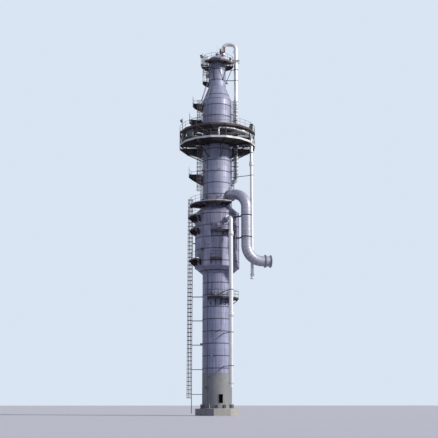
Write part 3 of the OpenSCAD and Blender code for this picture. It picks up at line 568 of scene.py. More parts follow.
def handrail(piece, path, z):
    """Top rail, knee rail, toe plate and posts along a path of points at deck level."""
    path = [p + UP * z for p in path]
    closed = (path[0] - path[-1]).length < 0.001
    line = path[:-1] if closed else path
    for h, r in ((RAIL_H - RAIL_R, RAIL_R), (RAIL_H * 0.52, RAIL_R * 0.8)):
        piece.sweep([p + UP * h for p in line], round_bar(r), closed=closed, smooth=True)
    piece.kind = 1
    piece.sweep([p + UP * ON_DECK for p in line], rect(-0.0105, -0.0065, 0, TOE_H), closed=closed)
    piece.kind = 0
    for p, q in zip(path, path[1:]):
        count = max(1, math.ceil((q - p).length / POST_GAP))
        for k in range(count if q is not path[-1] or closed else count + 1):
            at = p.lerp(q, k / count)
            piece.rod(at, at + UP * (RAIL_H - RAIL_R), RAIL_R * 0.95)
            piece.turned(at, UP, [(RAIL_R * 1.5, 0), (RAIL_R * 1.5, 0.006), (RAIL_R, 0.02)], 10)
            collar = [(RAIL_R, 0), (RAIL_R * 1.35, 0.006), (RAIL_R * 1.35, 0.02), (RAIL_R, 0.026)]
            piece.turned(at + UP * (RAIL_H - 3 * RAIL_R), UP, collar, 10)


def knee(piece, az, r0, r1, z, drop, size, shift=0.0, web=False):
    """A knee bracket: an I-section arm and strut, a plate on the shell, gussets or a web."""
    at, reach = Spot(az, r0, z), r1 - r0
    arm = i_section(0.03, size, 0.006)
    slope = math.atan2(drop - size, reach - size)
    foot = at(0.01, shift, size * 0.8 - drop)
    tip = at(reach - size / (2 * math.sin(slope)) - 0.004, shift, -size)
    piece.beam(at(-0.02, shift, -size / 2), at(reach, shift, -size / 2), arm)
    piece.beam(foot, tip, arm)
    piece.beam(at(0.004, shift), at(0.004, shift, -drop), flat(0.015, 0.006), up=at.out)
    if web:
        plate = [at(0, shift, -size), tip, at(0, shift, size - drop)]
        piece.loft([[v + at.side * s for v in plate] for s in (-0.003, 0.003)])
        return
    for corner, toward in ((foot, size), (tip - at.out * (size * 0.4), -size)):
        plate = [corner, corner + at.out * (toward * 1.5), corner + UP * (toward * 1.3)]
        for s in (-0.004, 0.004):
            piece.loft([[v + at.side * (s + face) for v in plate] for face in (-0.002, 0.002)])


def rail_line(azimuths, r1, closed, sides, inner):
    """The handrail's line round a deck, with the straight ends towards the column that sides names."""
    last = len(azimuths) - 1
    path = [Spot(az, r1 - 0.02)(side=0 if closed else inset(i, last, 0.015))
            for i, az in enumerate(azimuths)]
    if "start" in sides:
        path.insert(0, Spot(azimuths[0], inner + 0.013)(side=0.015))
    if "end" in sides:
        path.append(Spot(azimuths[-1], inner + 0.013)(side=-0.015))
    return path


def platform(name, azimuths, starts, r1, z, paints, edge=None, sides=(), holes=(), closed=False):
    """The pieces of a platform: its floor of grating and beams, and its handrail."""
    floor = Piece(name + "_grating", "platform_steel", GRATE_STEEL, DARK_STEEL, *([edge] if edge else []))
    deck(floor, azimuths, starts, r1, z, holes, closed, 2 if edge else 1)
    rails = Piece(name + "_handrail", "handrail_steel", *paints)
    handrail(rails, rail_line(azimuths, r1, closed, sides, min(starts)), z)
    return floor, rails


def landing(name, az0, az1, bays, shell_r, r1, z, drop, sides, paints):
    """A part-round platform on a knee bracket at each end of each bay."""
    azimuths = [az0 + (az1 - az0) * i / bays for i in range(bays + 1)]
    starts = [shell_r + CLEARANCE] * bays
    floor, rails = platform(name, azimuths, starts, r1, z, paints, sides=sides)
    for i, az in enumerate(azimuths):
        knee(floor, az, shell_r, r1 - KNEE_INSET, z - DECK_H, drop, 0.05, inset(i, bays, 0.017),
             web=name.startswith("left"))
    return floor, rails


# The second pair is a dark copy of the rail steel: painted shade on the landings that take it.
PALE_RAILS, PAINTED_SHADE_RAILS = (RAIL_STEEL, TOE_STEEL), (DARK_STEEL_AND_RAIL_SHADE, DARK_STEEL_AND_RAIL_SHADE)

for name, az0, az1, bays, shell_r, r1, drop, sides, paints in (
    ("left_platform_1", -130, -94, 2, TOP_R, 1.18, 0.3, ("start",), PAINTED_SHADE_RAILS),
    ("left_platform_2", -122, -94, 2, MIDDLE_R, 1.95, 0.5, ("start",), PAINTED_SHADE_RAILS),
    ("left_platform_3", -128, -93, 2, MIDDLE_R, 2.23, 0.7, ("start",), PAINTED_SHADE_RAILS),
    ("left_platform_4", -128, -93, 2, MIDDLE_R, 2.23, 0.7, ("start",), PAINTED_SHADE_RAILS),
    ("left_platform_5", -97, -62, 2, WIDE_R, 2.26, 0.42, ("end",), PALE_RAILS),
    ("left_platform_6", -97, -66, 2, WIDE_R, 2.16, 0.35, ("end",), PAINTED_SHADE_RAILS),
    ("left_platform_7", -97, -60, 2, WIDE_R, 2.16, 0.42, ("end",), PALE_RAILS),
    ("front_platform_1", -28, 28, 4, WIDE_R, 2.10, 0.35, ("start", "end"), PAINTED_SHADE_RAILS),
    ("front_platform_2", -30, -4, 2, WIDE_R, 2.05, 0.33, ("start", "end"), PAINTED_SHADE_RAILS),
    ("front_platform_3", -40, 58, 5, LOWER_R, 1.70, 0.45, ("start", "end"), PAINTED_SHADE_RAILS),
):
    level = high(name)[2] - RAIL_H
    floor, rails = landing(name, az0, az1, bays, shell_r, r1, level, drop, sides, paints)
    floor.make(name)
    rails.make()

floor, rails = landing(
    "middle_deck", -98, 17, 7, MIDDLE_R, MID_DECK_R, MID_DECK_Z, 0.13, ("end",), PALE_RAILS)
floor.make("middle_deck")
rails.make("middle_rail")


def ring_azimuth(i):
    return LADDER_AZ + (i - 0.5) * PANEL_A


OVERHEAD_AZ = 75
OVERHEAD_R = 0.145
OVERHEAD_REACH = MIDDLE_R + 0.19 + OVERHEAD_R
OVERHEAD = polar(OVERHEAD_REACH, OVERHEAD_AZ)
RISER_REACH = 2.74
RISER = polar(RISER_REACH, 60)
FRONT_BAY = round((FRONT_LADDER_AZ - LADDER_AZ) / PANEL_A)
OVERHEAD_HOLE = (OVERHEAD, OVERHEAD_R + 0.025)

for which, z, holes, edge in (
    ("lower_ring", LOWER_RING_Z, [OVERHEAD_HOLE, (RISER, 0.14)], TOE_STEEL),
    ("upper_ring", UPPER_RING_Z, [OVERHEAD_HOLE], RUSTY_EDGE),
):
    azimuths = [ring_azimuth(i) for i in range(RING_PANELS + 1)]
    starts = [HATCH_R if i in (0, FRONT_BAY) else MIDDLE_R + CLEARANCE for i in range(RING_PANELS)]
    floor, rails = platform(
        which, azimuths, starts, RING_R, z, (RAIL_STEEL, edge), edge, holes=holes, closed=True)
    floor.make(which + "_deck")
    rails.make(which + "_rail")

brackets = Piece("ring_knee_brackets", "platform_steel", DARK_STEEL)
for i in range(0, RING_PANELS, 2):
    az = ring_azimuth(i)
    knee(brackets, az, MIDDLE_R, RING_R - 0.08, LOWER_RING_Z - DECK_H, 1.05, 0.08)
    knee(brackets, az, MIDDLE_R, MIDDLE_R + 0.8, UPPER_RING_Z - DECK_H, 0.48, 0.05)
brackets.make("ring_brackets")

azimuths = [LADDER_AZ - 15 + i * 30 for i in range(1, 13)]
starts = [TOP_R + CLEARANCE] * 11
floor, rails = platform(
    "top_deck", azimuths, starts, TOP_DECK_R, TOP_DECK_Z, (RAIL_STEEL, RUSTY_EDGE), RUSTY_EDGE)
for az in azimuths[1:11:2]:
    knee(floor, az, TOP_R, TOP_DECK_R - KNEE_INSET, TOP_DECK_Z - DECK_H, 1.45, 0.045)
floor.make("top_deck")
rails.make("top_rail")


# Ladders

def cage_line():
    """The cage's outline in plan: across the ladder and outward from it."""
    w, n = CAGE_W / 2, LADDER_W / 2
    arc = [(w * math.cos(t), CAGE_DEPTH - w + w * math.sin(t)) for t in turns(20)[:11]]
    return [(n, 0.0), (w * 0.97, CAGE_DEPTH * 0.3), *arc, (-w * 0.97, CAGE_DEPTH * 0.3), (-n, 0.0)]


def ladder(piece, foot, top, az):
    """Stringers and rungs from foot to top."""
    side = Spot(az).side
    for shift in across(Vector(), side, LADDER_W / 2 - 0.004):
        piece.beam(foot + shift, top + shift, flat(0.018, 0.004), up=side)
    along = (top - foot).normalized()
    for up in steps(0, (top - foot).length - 0.1, RUNG_PITCH):
        piece.rod(*across(foot + along * (0.066 + up), side, LADDER_W / 2 - 0.002), 0.0065, 6)


def cage(piece, az, r, z0, z1):
    """Hoops and straps round a ladder."""
    at = Spot(az, r)
    line = [at(out, side) for side, out in cage_line()]
    span = z1 - z0 - 0.04
    count = max(1, round(span / HOOP_PITCH))
    for i in range(count + 1):
        z = z0 + 0.02 + i * span / count
        piece.sweep([p + UP * z for p in line], flat(0.003, 0.018))
    for k in range(1, len(line) - 1, 2):
        outside = (line[k + 1] - line[k - 1]).normalized().cross(UP)
        ends = line[k] + UP * z0, line[k] + UP * z1
        piece.beam(*ends, rect(-0.012, 0.012, -0.0065, -0.0015), up=outside)


def standoffs(piece, az, shell_r, r, zs):
    """Arms from the shell to the stringers, with a foot plate and bolts each."""
    for z in zs:
        at = Spot(az, 0, z + 0.025)
        for side in (-1, 1):
            shift = side * (LADDER_W / 2 - 0.014)
            piece.beam(at(shell_r - 0.01, shift), at(r + 0.01, shift), flat(0.004, 0.022))
            piece.beam(at(shell_r - 0.004, shift), at(shell_r + 0.012, shift), flat(0.022, 0.035))
            for up in (-0.012, 0.012):
                piece.bolt(at(r - 0.002, shift + side * 0.004, up), at.side * side, 0.006)


def caged_ladder(which, az, paint, line, cages, arms):
    """A ladder along the radii and heights of its line, with its cages and its arms to the column."""
    piece = Piece(which + "_caged_ladder", "ladder_steel", paint)
    for (r0, z0), (r1, z1) in zip(line, line[1:]):
        ladder(piece, polar(r0, az, z0), polar(r1, az, z1), az)
    for r, z0, z1 in cages:
        cage(piece, az, r, z0, z1)
    for shell_r, r, start, stop, pitch in arms:
        standoffs(piece, az, shell_r, r, steps(start, stop, pitch))
    piece.make(which + "_ladder")


AT_WIDE, AT_MIDDLE, AT_TOP = (r + LADDER_GAP for r in (WIDE_R, MIDDLE_R, TOP_R))
BEND_LOW, BEND_HIGH = TRANSITION_Z - 0.1, TOP_Z + 0.2
LOWER_TOP, UPPER_TOP = MID_DECK_Z + RAIL_H, TOP_DECK_Z + RAIL_H
FRONT_LOW = low("front_ladder")[2]

caged_ladder(
    "lower", LOWER_LADDER_AZ, LADDER_STEEL,
    [(AT_WIDE, 0.15), (AT_WIDE, LOWER_TOP)], [(AT_WIDE, 1.25, LOWER_TOP)],
    [(LOWER_R, AT_WIDE, 1.5, LOWER_CONE_Z - 0.3, 1.8),
     (WIDE_R, AT_WIDE, WIDE_Z + 0.6, UPPER_CONE_Z - 0.1, 1.3)])
caged_ladder(
    "middle", LADDER_AZ, LADDER_STEEL,
    [(AT_MIDDLE, MID_DECK_Z + 0.002), (AT_MIDDLE, UPPER_RING_Z - 0.002)],
    [(AT_MIDDLE, MID_DECK_Z + 1.1, UPPER_RING_Z - 0.002)],
    [(MIDDLE_R, AT_MIDDLE, MID_DECK_Z + 0.4, UPPER_RING_Z - 0.2, 1.15)])
caged_ladder(
    "upper", LADDER_AZ, LADDER_STEEL,
    [(AT_MIDDLE, UPPER_RING_Z + 0.002), (AT_MIDDLE, BEND_LOW), (AT_TOP, BEND_HIGH), (AT_TOP, UPPER_TOP)],
    [(AT_MIDDLE, UPPER_RING_Z + 1.1, BEND_LOW - 0.006), (AT_TOP, TOP_Z + 0.9, UPPER_TOP)],
    [(MIDDLE_R, AT_MIDDLE, UPPER_RING_Z + 0.5, BEND_LOW - 0.1, 0.95),
     (TOP_R, AT_TOP, BEND_HIGH + 0.1, HEAD_Z - 0.06, 0.9)])
caged_ladder(
    "front", FRONT_LADDER_AZ, FRONT_LADDER_PAINTED_SHADE,
    [(AT_MIDDLE, FRONT_LOW), (AT_MIDDLE, BEND_LOW)], [(AT_MIDDLE, FRONT_LOW + 0.9, BEND_LOW)],
    [(MIDDLE_R, AT_MIDDLE, FRONT_LOW + 0.3, TRANSITION_Z - 0.2, 1.15)])


# Pipes: bands, flange bolts, the ring deck's branch, jackets

def stations(route, bends, pitch, gores):
    """Points and directions along a pipe: evenly on its straights, and at the gores of its elbows."""
    ways = [(b - a).normalized() for a, b in zip(route, route[1:])]
    cuts = [0.0, *(bend * math.tan(a.angle(b) / 2) for bend, a, b in zip(bends, ways, ways[1:])), 0.0]
    found = []
    for i, d in enumerate(ways):
        p, q = route[i] + d * cuts[i], route[i + 1] - d * cuts[i + 1]
        count = max(1, round((q - p).length / pitch))
        found += [(p.lerp(q, (k + 0.5) / count), d) for k in range(count)]
        if i < len(bends):
            w = ways[i + 1]
            centre = q + (w - d * w.dot(d)).normalized() * bends[i]
            for k in range(gores + 1):
                turn = Matrix.Rotation(d.angle(w) * k / gores, 3, d.cross(w).normalized())
                found.append((centre + turn @ (q - centre), turn @ d))
    return found


def flange_bolts(piece, p, d, circle_r, count, size, thick):
    """Studs with a nut on each side of a flange pair whose joint is at p."""
    for at in circle(p, d, circle_r, count):
        piece.bolt(at + d * thick, d, size)
        piece.bolt(at - d * thick, -d, size)


VAPOUR_AZ = 40
VAPOUR_LOW_Z = WIDE_Z + 0.35
VAPOUR_START = polar(MIDDLE_R + 0.23, VAPOUR_AZ, MIDDLE_Z + 0.85)
VAPOUR_OUT = polar(2.7, VAPOUR_AZ, VAPOUR_START.z)
VAPOUR_TURN = Vector((*VAPOUR_OUT.xy, VAPOUR_LOW_Z))
VAPOUR_END = Vector((low("vapour_spool")[0], VAPOUR_OUT.y, VAPOUR_LOW_Z))
OVERHEAD_START = polar(MIDDLE_R + 0.06, OVERHEAD_AZ, MIDDLE_Z + 2.05)
OVERHEAD_TOP_Z = HEAD_Z + 1.405
OVERHEAD_TOP = polar(0.48, OVERHEAD_AZ, OVERHEAD_TOP_Z)
OVERHEAD_FOOT = polar(0.48, OVERHEAD_AZ, HEAD_Z + 0.48)
RISER_AZ = 28
RISER_R = 0.115
RISER_Z = LOWER_RING_Z + 0.72
RISER_START = polar(MIDDLE_R + 0.16, RISER_AZ, RISER_Z)
RISER_CORNER = polar(RISER_REACH, RISER_AZ, RISER_Z)
RISER_TOP = RISER + UP * RISER_Z
RISER_END = RISER + UP * (WIDE_Z - 0.6)
FRONT_AZ = 12
FRONT_R = 0.15
FRONT_Z = UPPER_CONE_Z - 0.65
FRONT_START = polar(WIDE_R + 0.15, FRONT_AZ, FRONT_Z)
FRONT_FOOT = polar(WIDE_R + 0.62, FRONT_AZ)
FRONT_END = FRONT_FOOT + UP * (PEDESTAL_H + 1.8)

for name, slot, route, bends, r, pitch, gores, width, proud in (
    ("vapour_pipe", "vapour_cladding", [VAPOUR_START, VAPOUR_OUT, VAPOUR_TURN, VAPOUR_END],
     [1.15, 1.15], 0.39, 0.45, 7, 0.022, 0.005),
    ("overhead_line", "pipe_cladding",
     [OVERHEAD_START, OVERHEAD + UP * OVERHEAD_START.z, OVERHEAD + UP * OVERHEAD_TOP_Z, OVERHEAD_TOP,
      OVERHEAD_FOOT], [2 * OVERHEAD_R, 0.42, 0.42], OVERHEAD_R, 0.5, 6, 0.014, 0.003),
    ("side_riser", "pipe_cladding", [RISER_START, RISER_CORNER, RISER_TOP, RISER_END],
     [0.26, 0.26], RISER_R, 0.5, 5, 0.014, 0.003),
    ("front_riser", "pipe_cladding", [FRONT_START, FRONT_FOOT + UP * FRONT_Z, FRONT_END],
     [0.26], FRONT_R, 0.5, 5, 0.014, 0.003),
):
    bands = Piece(name + "_bands", slot, BAND_METAL)
    for p, d in stations(route, bends, pitch, gores):
        bands.hoop(p, d, r - 0.002, r + proud, width / 2, 40)
    bands.verts = [(x, y, min(z, cad_high[2])) for x, y, z in bands.verts]
    bands.make()

bolts = Piece("flange_bolts", "platform_steel", BOLT_STEEL)
for joint, way, circle_r, count, size, thick in (
    (VAPOUR_START, polar(1, VAPOUR_AZ), 0.438, 24, 0.018, 0.05),
    (VAPOUR_END, RIGHT, 0.445, 24, 0.018, 0.04),
    (OVERHEAD_START, polar(1, OVERHEAD_AZ), OVERHEAD_R + 0.026, 8, 0.011, 0.022),
    (OVERHEAD_FOOT, UP, OVERHEAD_R + 0.026, 8, 0.011, 0.022),
    (RISER_START, polar(1, RISER_AZ), 0.145, 8, 0.012, 0.025),
    (RISER_END, UP, 0.145, 8, 0.012, 0.025),
    (FRONT_START, polar(1, FRONT_AZ), 0.184, 12, 0.013, 0.028),
    (FRONT_END, UP, 0.184, 12, 0.013, 0.028),
):
    flange_bolts(bolts, joint, way, circle_r, count, size, thick)
bolts.make()


def gate_valve(piece, at, d, side, bore):
    """A small gate valve in a pipe along d at the point at, with its handwheel towards side."""
    face, neck, body, bonnet = bore + 0.04, bore + 0.01, bore + 0.035, bore * 1.25
    for end in (-1, 1):
        piece.turned(at + d * (0.11 * end), -d * end, [(face, 0), (face, 0.018), (neck, 0.02)], 20)
    piece.turned(at - d * 0.092, d, [(neck, 0), (body, 0.05), (body, 0.134), (neck, 0.184)], 20, True)
    piece.turned(at, side, [(bore * 0.8, 0), (bore * 0.8, bore + 0.07), (bonnet, bore + 0.072),
                            (bonnet, bore + 0.1), (0.02, bore + 0.104), (0.014, bore + 0.2)], 16)
    piece.kind = 1
    hub = at + side * (bore + 0.19)
    piece.rod(hub - side * 0.02, hub + side * 0.05, 0.009)
    piece.hoop(hub, side, 0.072, 0.084, 0.006, 28)
    for rim in circle(hub, side, 0.075, 3):
        piece.rod(hub, rim, 0.005, 6)
    piece.kind = 0


def ring_header():
    """The pale branch of the side riser that runs round the front of the lower ring deck."""
    r, reach, left = 0.055, 2.76, -12
    inward = ((RISER_TOP - RISER_CORNER).normalized() - polar(1, RISER_AZ)).normalized()
    foot = polar(reach, left, LOWER_RING_Z + ON_DECK)
    route = [foot, *(polar(reach, az, RISER_Z) for az in (left, 0, 13)), RISER_CORNER + inward * 0.12]
    bends = [0.15, 0.3, 0.3]
    piece = Piece("ring_header", "pipe_cladding", PALE_PIPE, BAND_METAL)
    piece.loft([circle(p, d, r, 20, d.cross(-BACK).normalized()) for p, d in stations(route, bends, 0.2, 6)],
               True)
    piece.kind = 1
    piece.turned(foot, UP, [(0.1, 0), (0.1, 0.014), (0.075, 0.016), (0.075, 0.03)], 20)
    for p, d in stations(route, bends, 0.4, 1):
        piece.hoop(p, d, r - 0.002, r + 0.003, 0.007, 24)
    piece.make()
    stands = Piece("ring_header_stands", "platform_steel", DARK_STEEL)
    rise = RISER_Z - LOWER_RING_Z
    for az, out in ((-7, reach), (6, reach), (18, reach - 0.02)):
        at = Spot(az, out, LOWER_RING_Z + ON_DECK)
        stands.beam(at(), at(up=rise - r), flat(0.018, 0.018), up=at.out)
        stands.beam(at(), at(up=0.008), flat(0.05, 0.05), up=at.out)
        stands.hoop(at(up=rise - ON_DECK), at.side, r + 0.001, r + 0.009, 0.012, 24)
    stands.make()
    valves = Piece("ring_header_valve", "pipe_cladding", TOE_STEEL, DARK_STEEL_AND_RAIL_SHADE)
    gate_valve(valves, polar(reach, left, LOWER_RING_Z + 0.3), UP, -polar(1, left), r)
    valves.make()


ring_header()

jackets = Piece("riser_jackets", "pipe_cladding", PALE_PIPE, BAND_METAL)
for foot, z, r in (
    (FRONT_FOOT, FRONT_Z - 1.25, FRONT_R), (FRONT_FOOT, LOWER_Z + 4.2, FRONT_R),
    (RISER, MIDDLE_Z + 3.3, RISER_R),
):
    at = foot + UP * (z - 0.17)
    outline = [(r + 0.001, 0), (r + 0.055, 0.045), (r + 0.055, 0.295), (r + 0.001, 0.34)]
    jackets.turned(at, UP, outline, 32, True)
    jackets.kind = 1
    for h in (0.07, 0.17, 0.27):
        jackets.hoop(at + UP * h, UP, r + 0.05, r + 0.058, 0.008, 32)
        buckle = Spot(BUCKLE_AZ, r + 0.064)
        jackets.beam(*across(at + buckle(up=h), buckle.side, 0.02), flat(0.006, 0.01))
    jackets.kind = 0
jackets.make()


# Manways, foot and trim

bolts = Piece("manway_bolts", "platform_steel", BOLT_STEEL)
arms = Piece("manway_davits", "platform_steel", DARK_STEEL)
for az, r, z in (
    (-20, LOWER_R, LOWER_Z + 5.95), (-8, WIDE_R, WIDE_Z + 3.0), (-25, MIDDLE_R, MID_DECK_Z + 0.43),
    (-20, MIDDLE_R, UPPER_RING_Z + 0.43), (110, MIDDLE_R, LOWER_RING_Z + 0.43), (-112, TOP_R, TOP_Z + 1.05),
):
    at = Spot(az, r + 0.18, z)
    for spot in circle(at(), at.out, 0.185, 16, at.side):
        bolts.bolt(spot, at.out, 0.011)
        bolts.bolt(spot - at.out * 0.07, -at.out, 0.011)
    bolts.hoop(at(-0.033), at.out, 0.2, 0.207, 0.002, 40)
    arm = [at(-0.06, 0.235, -0.12), at(-0.06, 0.235, 0.2), at(-0.06, 0.175, 0.27), at(-0.01, 0.035, 0.29),
           at(0.02, 0, 0.29)]
    arms.sweep(arm, round_bar(0.011), up=at.out, smooth=True)
    arms.rod(arm[-1], at(0.02, 0, 0.1), 0.006)
    for h in (-0.1, 0.02):
        arms.beam(at(-0.06, 0.235, h), at(-0.06, 0.145, h), flat(0.012, 0.012))
    for side in (-0.09, 0.09):
        grip = [at(out, side, up) for out, up in rect(0.012, 0.042, -0.05, 0.05)]
        arms.sweep(grip, round_bar(0.005, 6), up=at.side)
bolts.make()
arms.make()


def foot_details():
    """Anchor bolts in their chairs, the grout bed, the doorway's frame and the vents' sleeves."""
    bolts = Piece("anchor_bolts", "skirt_steel", BOLT_STEEL)
    for i in range(12):
        at = Spot((i + 0.5) * 30, LOWER_R + 0.075, PEDESTAL_H + 0.03)
        bolts.rod(at(), at(up=0.33), 0.016, 10)
        bolts.bolt(at(up=0.26), UP, 0.03)
        bolts.turned(at(), UP, [(0.03, 0), (0.03, 0.022)], 6)
    bolts.make()
    bed = Piece("grout_bed", "concrete", CONCRETE)
    outline = ((-0.2, 0), (0.2, 0), (0.16, 0.028), (0.14, 0.028))
    bed.loft([[polar(LOWER_R + out, az, PEDESTAL_H + up) for out, up in outline]
              for az in range(0, 360, 5)], closed=True)
    bed.make()
    bars = Piece("skirt_opening_frames", "skirt_steel", GREY_STEEL)
    w, z0, z1 = 0.16, PEDESTAL_H + 0.4, PEDESTAL_H + 1.04
    depth = LOWER_R * math.cos(math.asin(w / LOWER_R))
    doorway = [Vector((x, -depth, z)) for x, z in rect(-w, w, z0, z1)]
    bars.sweep(doorway, rect(-0.006, 0.012, -0.05, 0.03), up=-BACK, closed=True)
    for az in (45, 135, 225, 315):
        bars.hoop(polar(LOWER_R + 0.012, az, LOWER_Z - 0.25), polar(1, az), 0.05, 0.062, 0.03, 24)
    for z in (PEDESTAL_H + 1.25, LOWER_Z - 0.02):
        bars.hoop(UP * z, UP, LOWER_R - 0.004, LOWER_R + 0.004, 0.006, 96)
    bars.make()


foot_details()

# Radius, ends and height of the first band over the foot of each clad section
SECTIONS = [
    (LOWER_R, LOWER_Z, LOWER_CONE_Z, 0.4), (WIDE_R, WIDE_Z, UPPER_CONE_Z, 0.4),
    (MIDDLE_R, MIDDLE_Z, TRANSITION_Z, 0.9), (TOP_R, TOP_Z, HEAD_Z, 0.5),
]


def cladding_trim():
    """Flashings where the sections meet, and the toggle latches of the bands."""
    seams = Piece("cone_flashings", "cladding", SEAM_METAL)
    for r, *ends, _ in SECTIONS:
        for z in ends:
            seams.hoop(UP * z, UP, r - 0.004, r + 0.007, 0.022, 96)
    seams.make()
    latches = Piece("band_latches", "cladding", BOLT_STEEL)
    for n, (r, z0, z1, first) in enumerate(SECTIONS):
        for z in steps(z0 + first, z1 - 0.1, BAND_PITCH):
            for az in range(20 + 25 * n, 380 + 25 * n, 90):
                at = Spot(az, r + BAND_PROUD, z)
                latches.beam(*across(at(), at.side, 0.035), rect(-0.004, 0.006, -0.009, 0.009))
                latches.rod(*across(at(0.008), at.side, 0.05), 0.003, 6)
    latches.make()


def line_support():
    """Pale channels that clamp the overhead line at the top deck's handrail."""
    piece = Piece("overhead_line_support", "pipe_cladding", TOE_STEEL, BOLT_STEEL)
    at = Spot(OVERHEAD_AZ, OVERHEAD_REACH, TOP_DECK_Z + 0.27)
    clamp = OVERHEAD_R + 0.02
    for side in (-1, 1):
        shift = side * (OVERHEAD_R + 0.065)
        outline = [(side * x, y) for x, y in channel(0.05, 0.13, 0.008)][::side]
        piece.beam(at(1.2 - OVERHEAD_REACH, shift, 0.065), at(0.3, shift, 0.065), outline)
    for way in (-clamp, clamp):
        piece.beam(*across(at(way), at.side, 0.212), flat(0.012, 0.04))
    piece.hoop(at(), UP, OVERHEAD_R - 0.001, OVERHEAD_R + 0.008, 0.035, 40)
    piece.kind = 1
    for side in (-0.185, 0.185):
        for way in (-1, 1):
            piece.bolt(at(way * (clamp + 0.012), side), at.out * way, 0.009)
    piece.make()


# Instruments, conduits, lamps and cabinets

def small_nozzle(piece, az, r, z, bore, reach):
    """A small nozzle with a blind flange, seated on the cladding."""
    at = Spot(az, r - 0.01, z)
    face, end = bore + 0.032, reach + 0.01
    neck = [(bore + 0.012, 0), (bore + 0.012, 0.018), (bore, 0.024), (bore, end - 0.018)]
    piece.turned(at(), at.out, [*neck, (face, end - 0.018), (face, end)], 20, True)
    piece.turned(at(end + 0.002), at.out, [(face, 0), (face, 0.016), (face - 0.006, 0.018)], 20)
    flange_bolts(piece, at(end + 0.001), at.out, bore + 0.019, 8, 0.006, 0.018)
    return at(end + 0.018)


def instruments():
    """Thermowells, each with its head and cable gland, and blind nozzles."""
    piece = Piece("small_nozzles", "cladding", NOZZLE_METAL)
    for az, r, z in (
        (-2, LOWER_R, LOWER_Z + 3.2), (32, LOWER_R, LOWER_Z + 6.0), (-34, LOWER_R, LOWER_Z + 1.3),
        (140, LOWER_R, LOWER_Z + 4.6), (-46, WIDE_R, WIDE_Z + 3.2), (150, WIDE_R, WIDE_Z + 2.0),
        (0, MIDDLE_R, MID_DECK_Z + 0.62), (-50, MIDDLE_R, LOWER_RING_Z + 0.5),
        (-6, MIDDLE_R, LOWER_RING_Z - 2.1), (150, MIDDLE_R, UPPER_RING_Z + 0.5),
        (170, MIDDLE_R, MIDDLE_Z + 2.4), (-45, TOP_R, TOP_Z + 1.3),
    ):
        tip, out = small_nozzle(piece, az, r, z, 0.02, 0.14), polar(1, az)
        cap = [(0.01, 0), (0.01, 0.05), (0.03, 0.052), (0.034, 0.06), (0.034, 0.1), (0.028, 0.108)]
        piece.turned(tip, out, cap, 16, True)
        piece.rod(tip + out * 0.08, tip + out * 0.08 - UP * 0.06, 0.01, 8)
    for az, r, z, bore in (
        (18, MIDDLE_R, UPPER_RING_Z + 0.4, 0.06), (-60, MIDDLE_R, MIDDLE_Z + 3.1, 0.05),
        (-38, WIDE_R, WIDE_Z + 1.7, 0.06), (125, WIDE_R, WIDE_Z + 3.3, 0.08),
        (-120, LOWER_R, LOWER_Z + 2.2, 0.08), (95, TOP_R, TOP_Z + 0.5, 0.05),
        (130, MIDDLE_R, MIDDLE_Z + 1.0, 0.08), (-150, MIDDLE_R, LOWER_RING_Z + 0.45, 0.06),
    ):
        small_nozzle(piece, az, r, z, bore, 0.16)
    piece.make()


def level_bridle():
    """A standpipe with its level gauge beside the wide section."""
    piece = Piece("level_gauge", "cladding", BAND_METAL, LAMP_PAINT)
    az, out, rise = 33.5, 0.2, 2.4
    at = Spot(az, WIDE_R, WIDE_Z + 0.95)
    for up in (0, rise):
        small_nozzle(piece, az, WIDE_R, at.place.z + up, 0.028, 0.12)
        piece.rod(at(0.12, up=up), at(out, up=up), 0.026, 16)
    pipe = [(0.02, 0), (0.034, 0.02), (0.034, 2.62), (0.02, 2.64)]
    piece.turned(at(out, up=-0.12), UP, pipe, 18, True)
    cocks = (0.35, 1.25, 2.05)
    for up in cocks:
        piece.rod(at(out, up=up), at(out + 0.09, up=up), 0.01, 10)
    piece.kind = 1
    for side, up0, up1 in ((-0.018, 0.32, 1.28), (0.018, 1.2, 2.08)):
        piece.beam(at(out + 0.09, side, up0), at(out + 0.09, side, up1), flat(0.016, 0.014), up=at.out)
    for up in cocks:
        cock, wheel = at(out + 0.055, 0, up), at(out + 0.055, 0.06, up)
        piece.turned(cock, at.side, [(0.018, -0.02), (0.018, 0.02)], 12)
        piece.rod(cock, wheel, 0.005, 6)
        piece.hoop(wheel, at.side, 0.018, 0.024, 0.003, 16)
    piece.make()


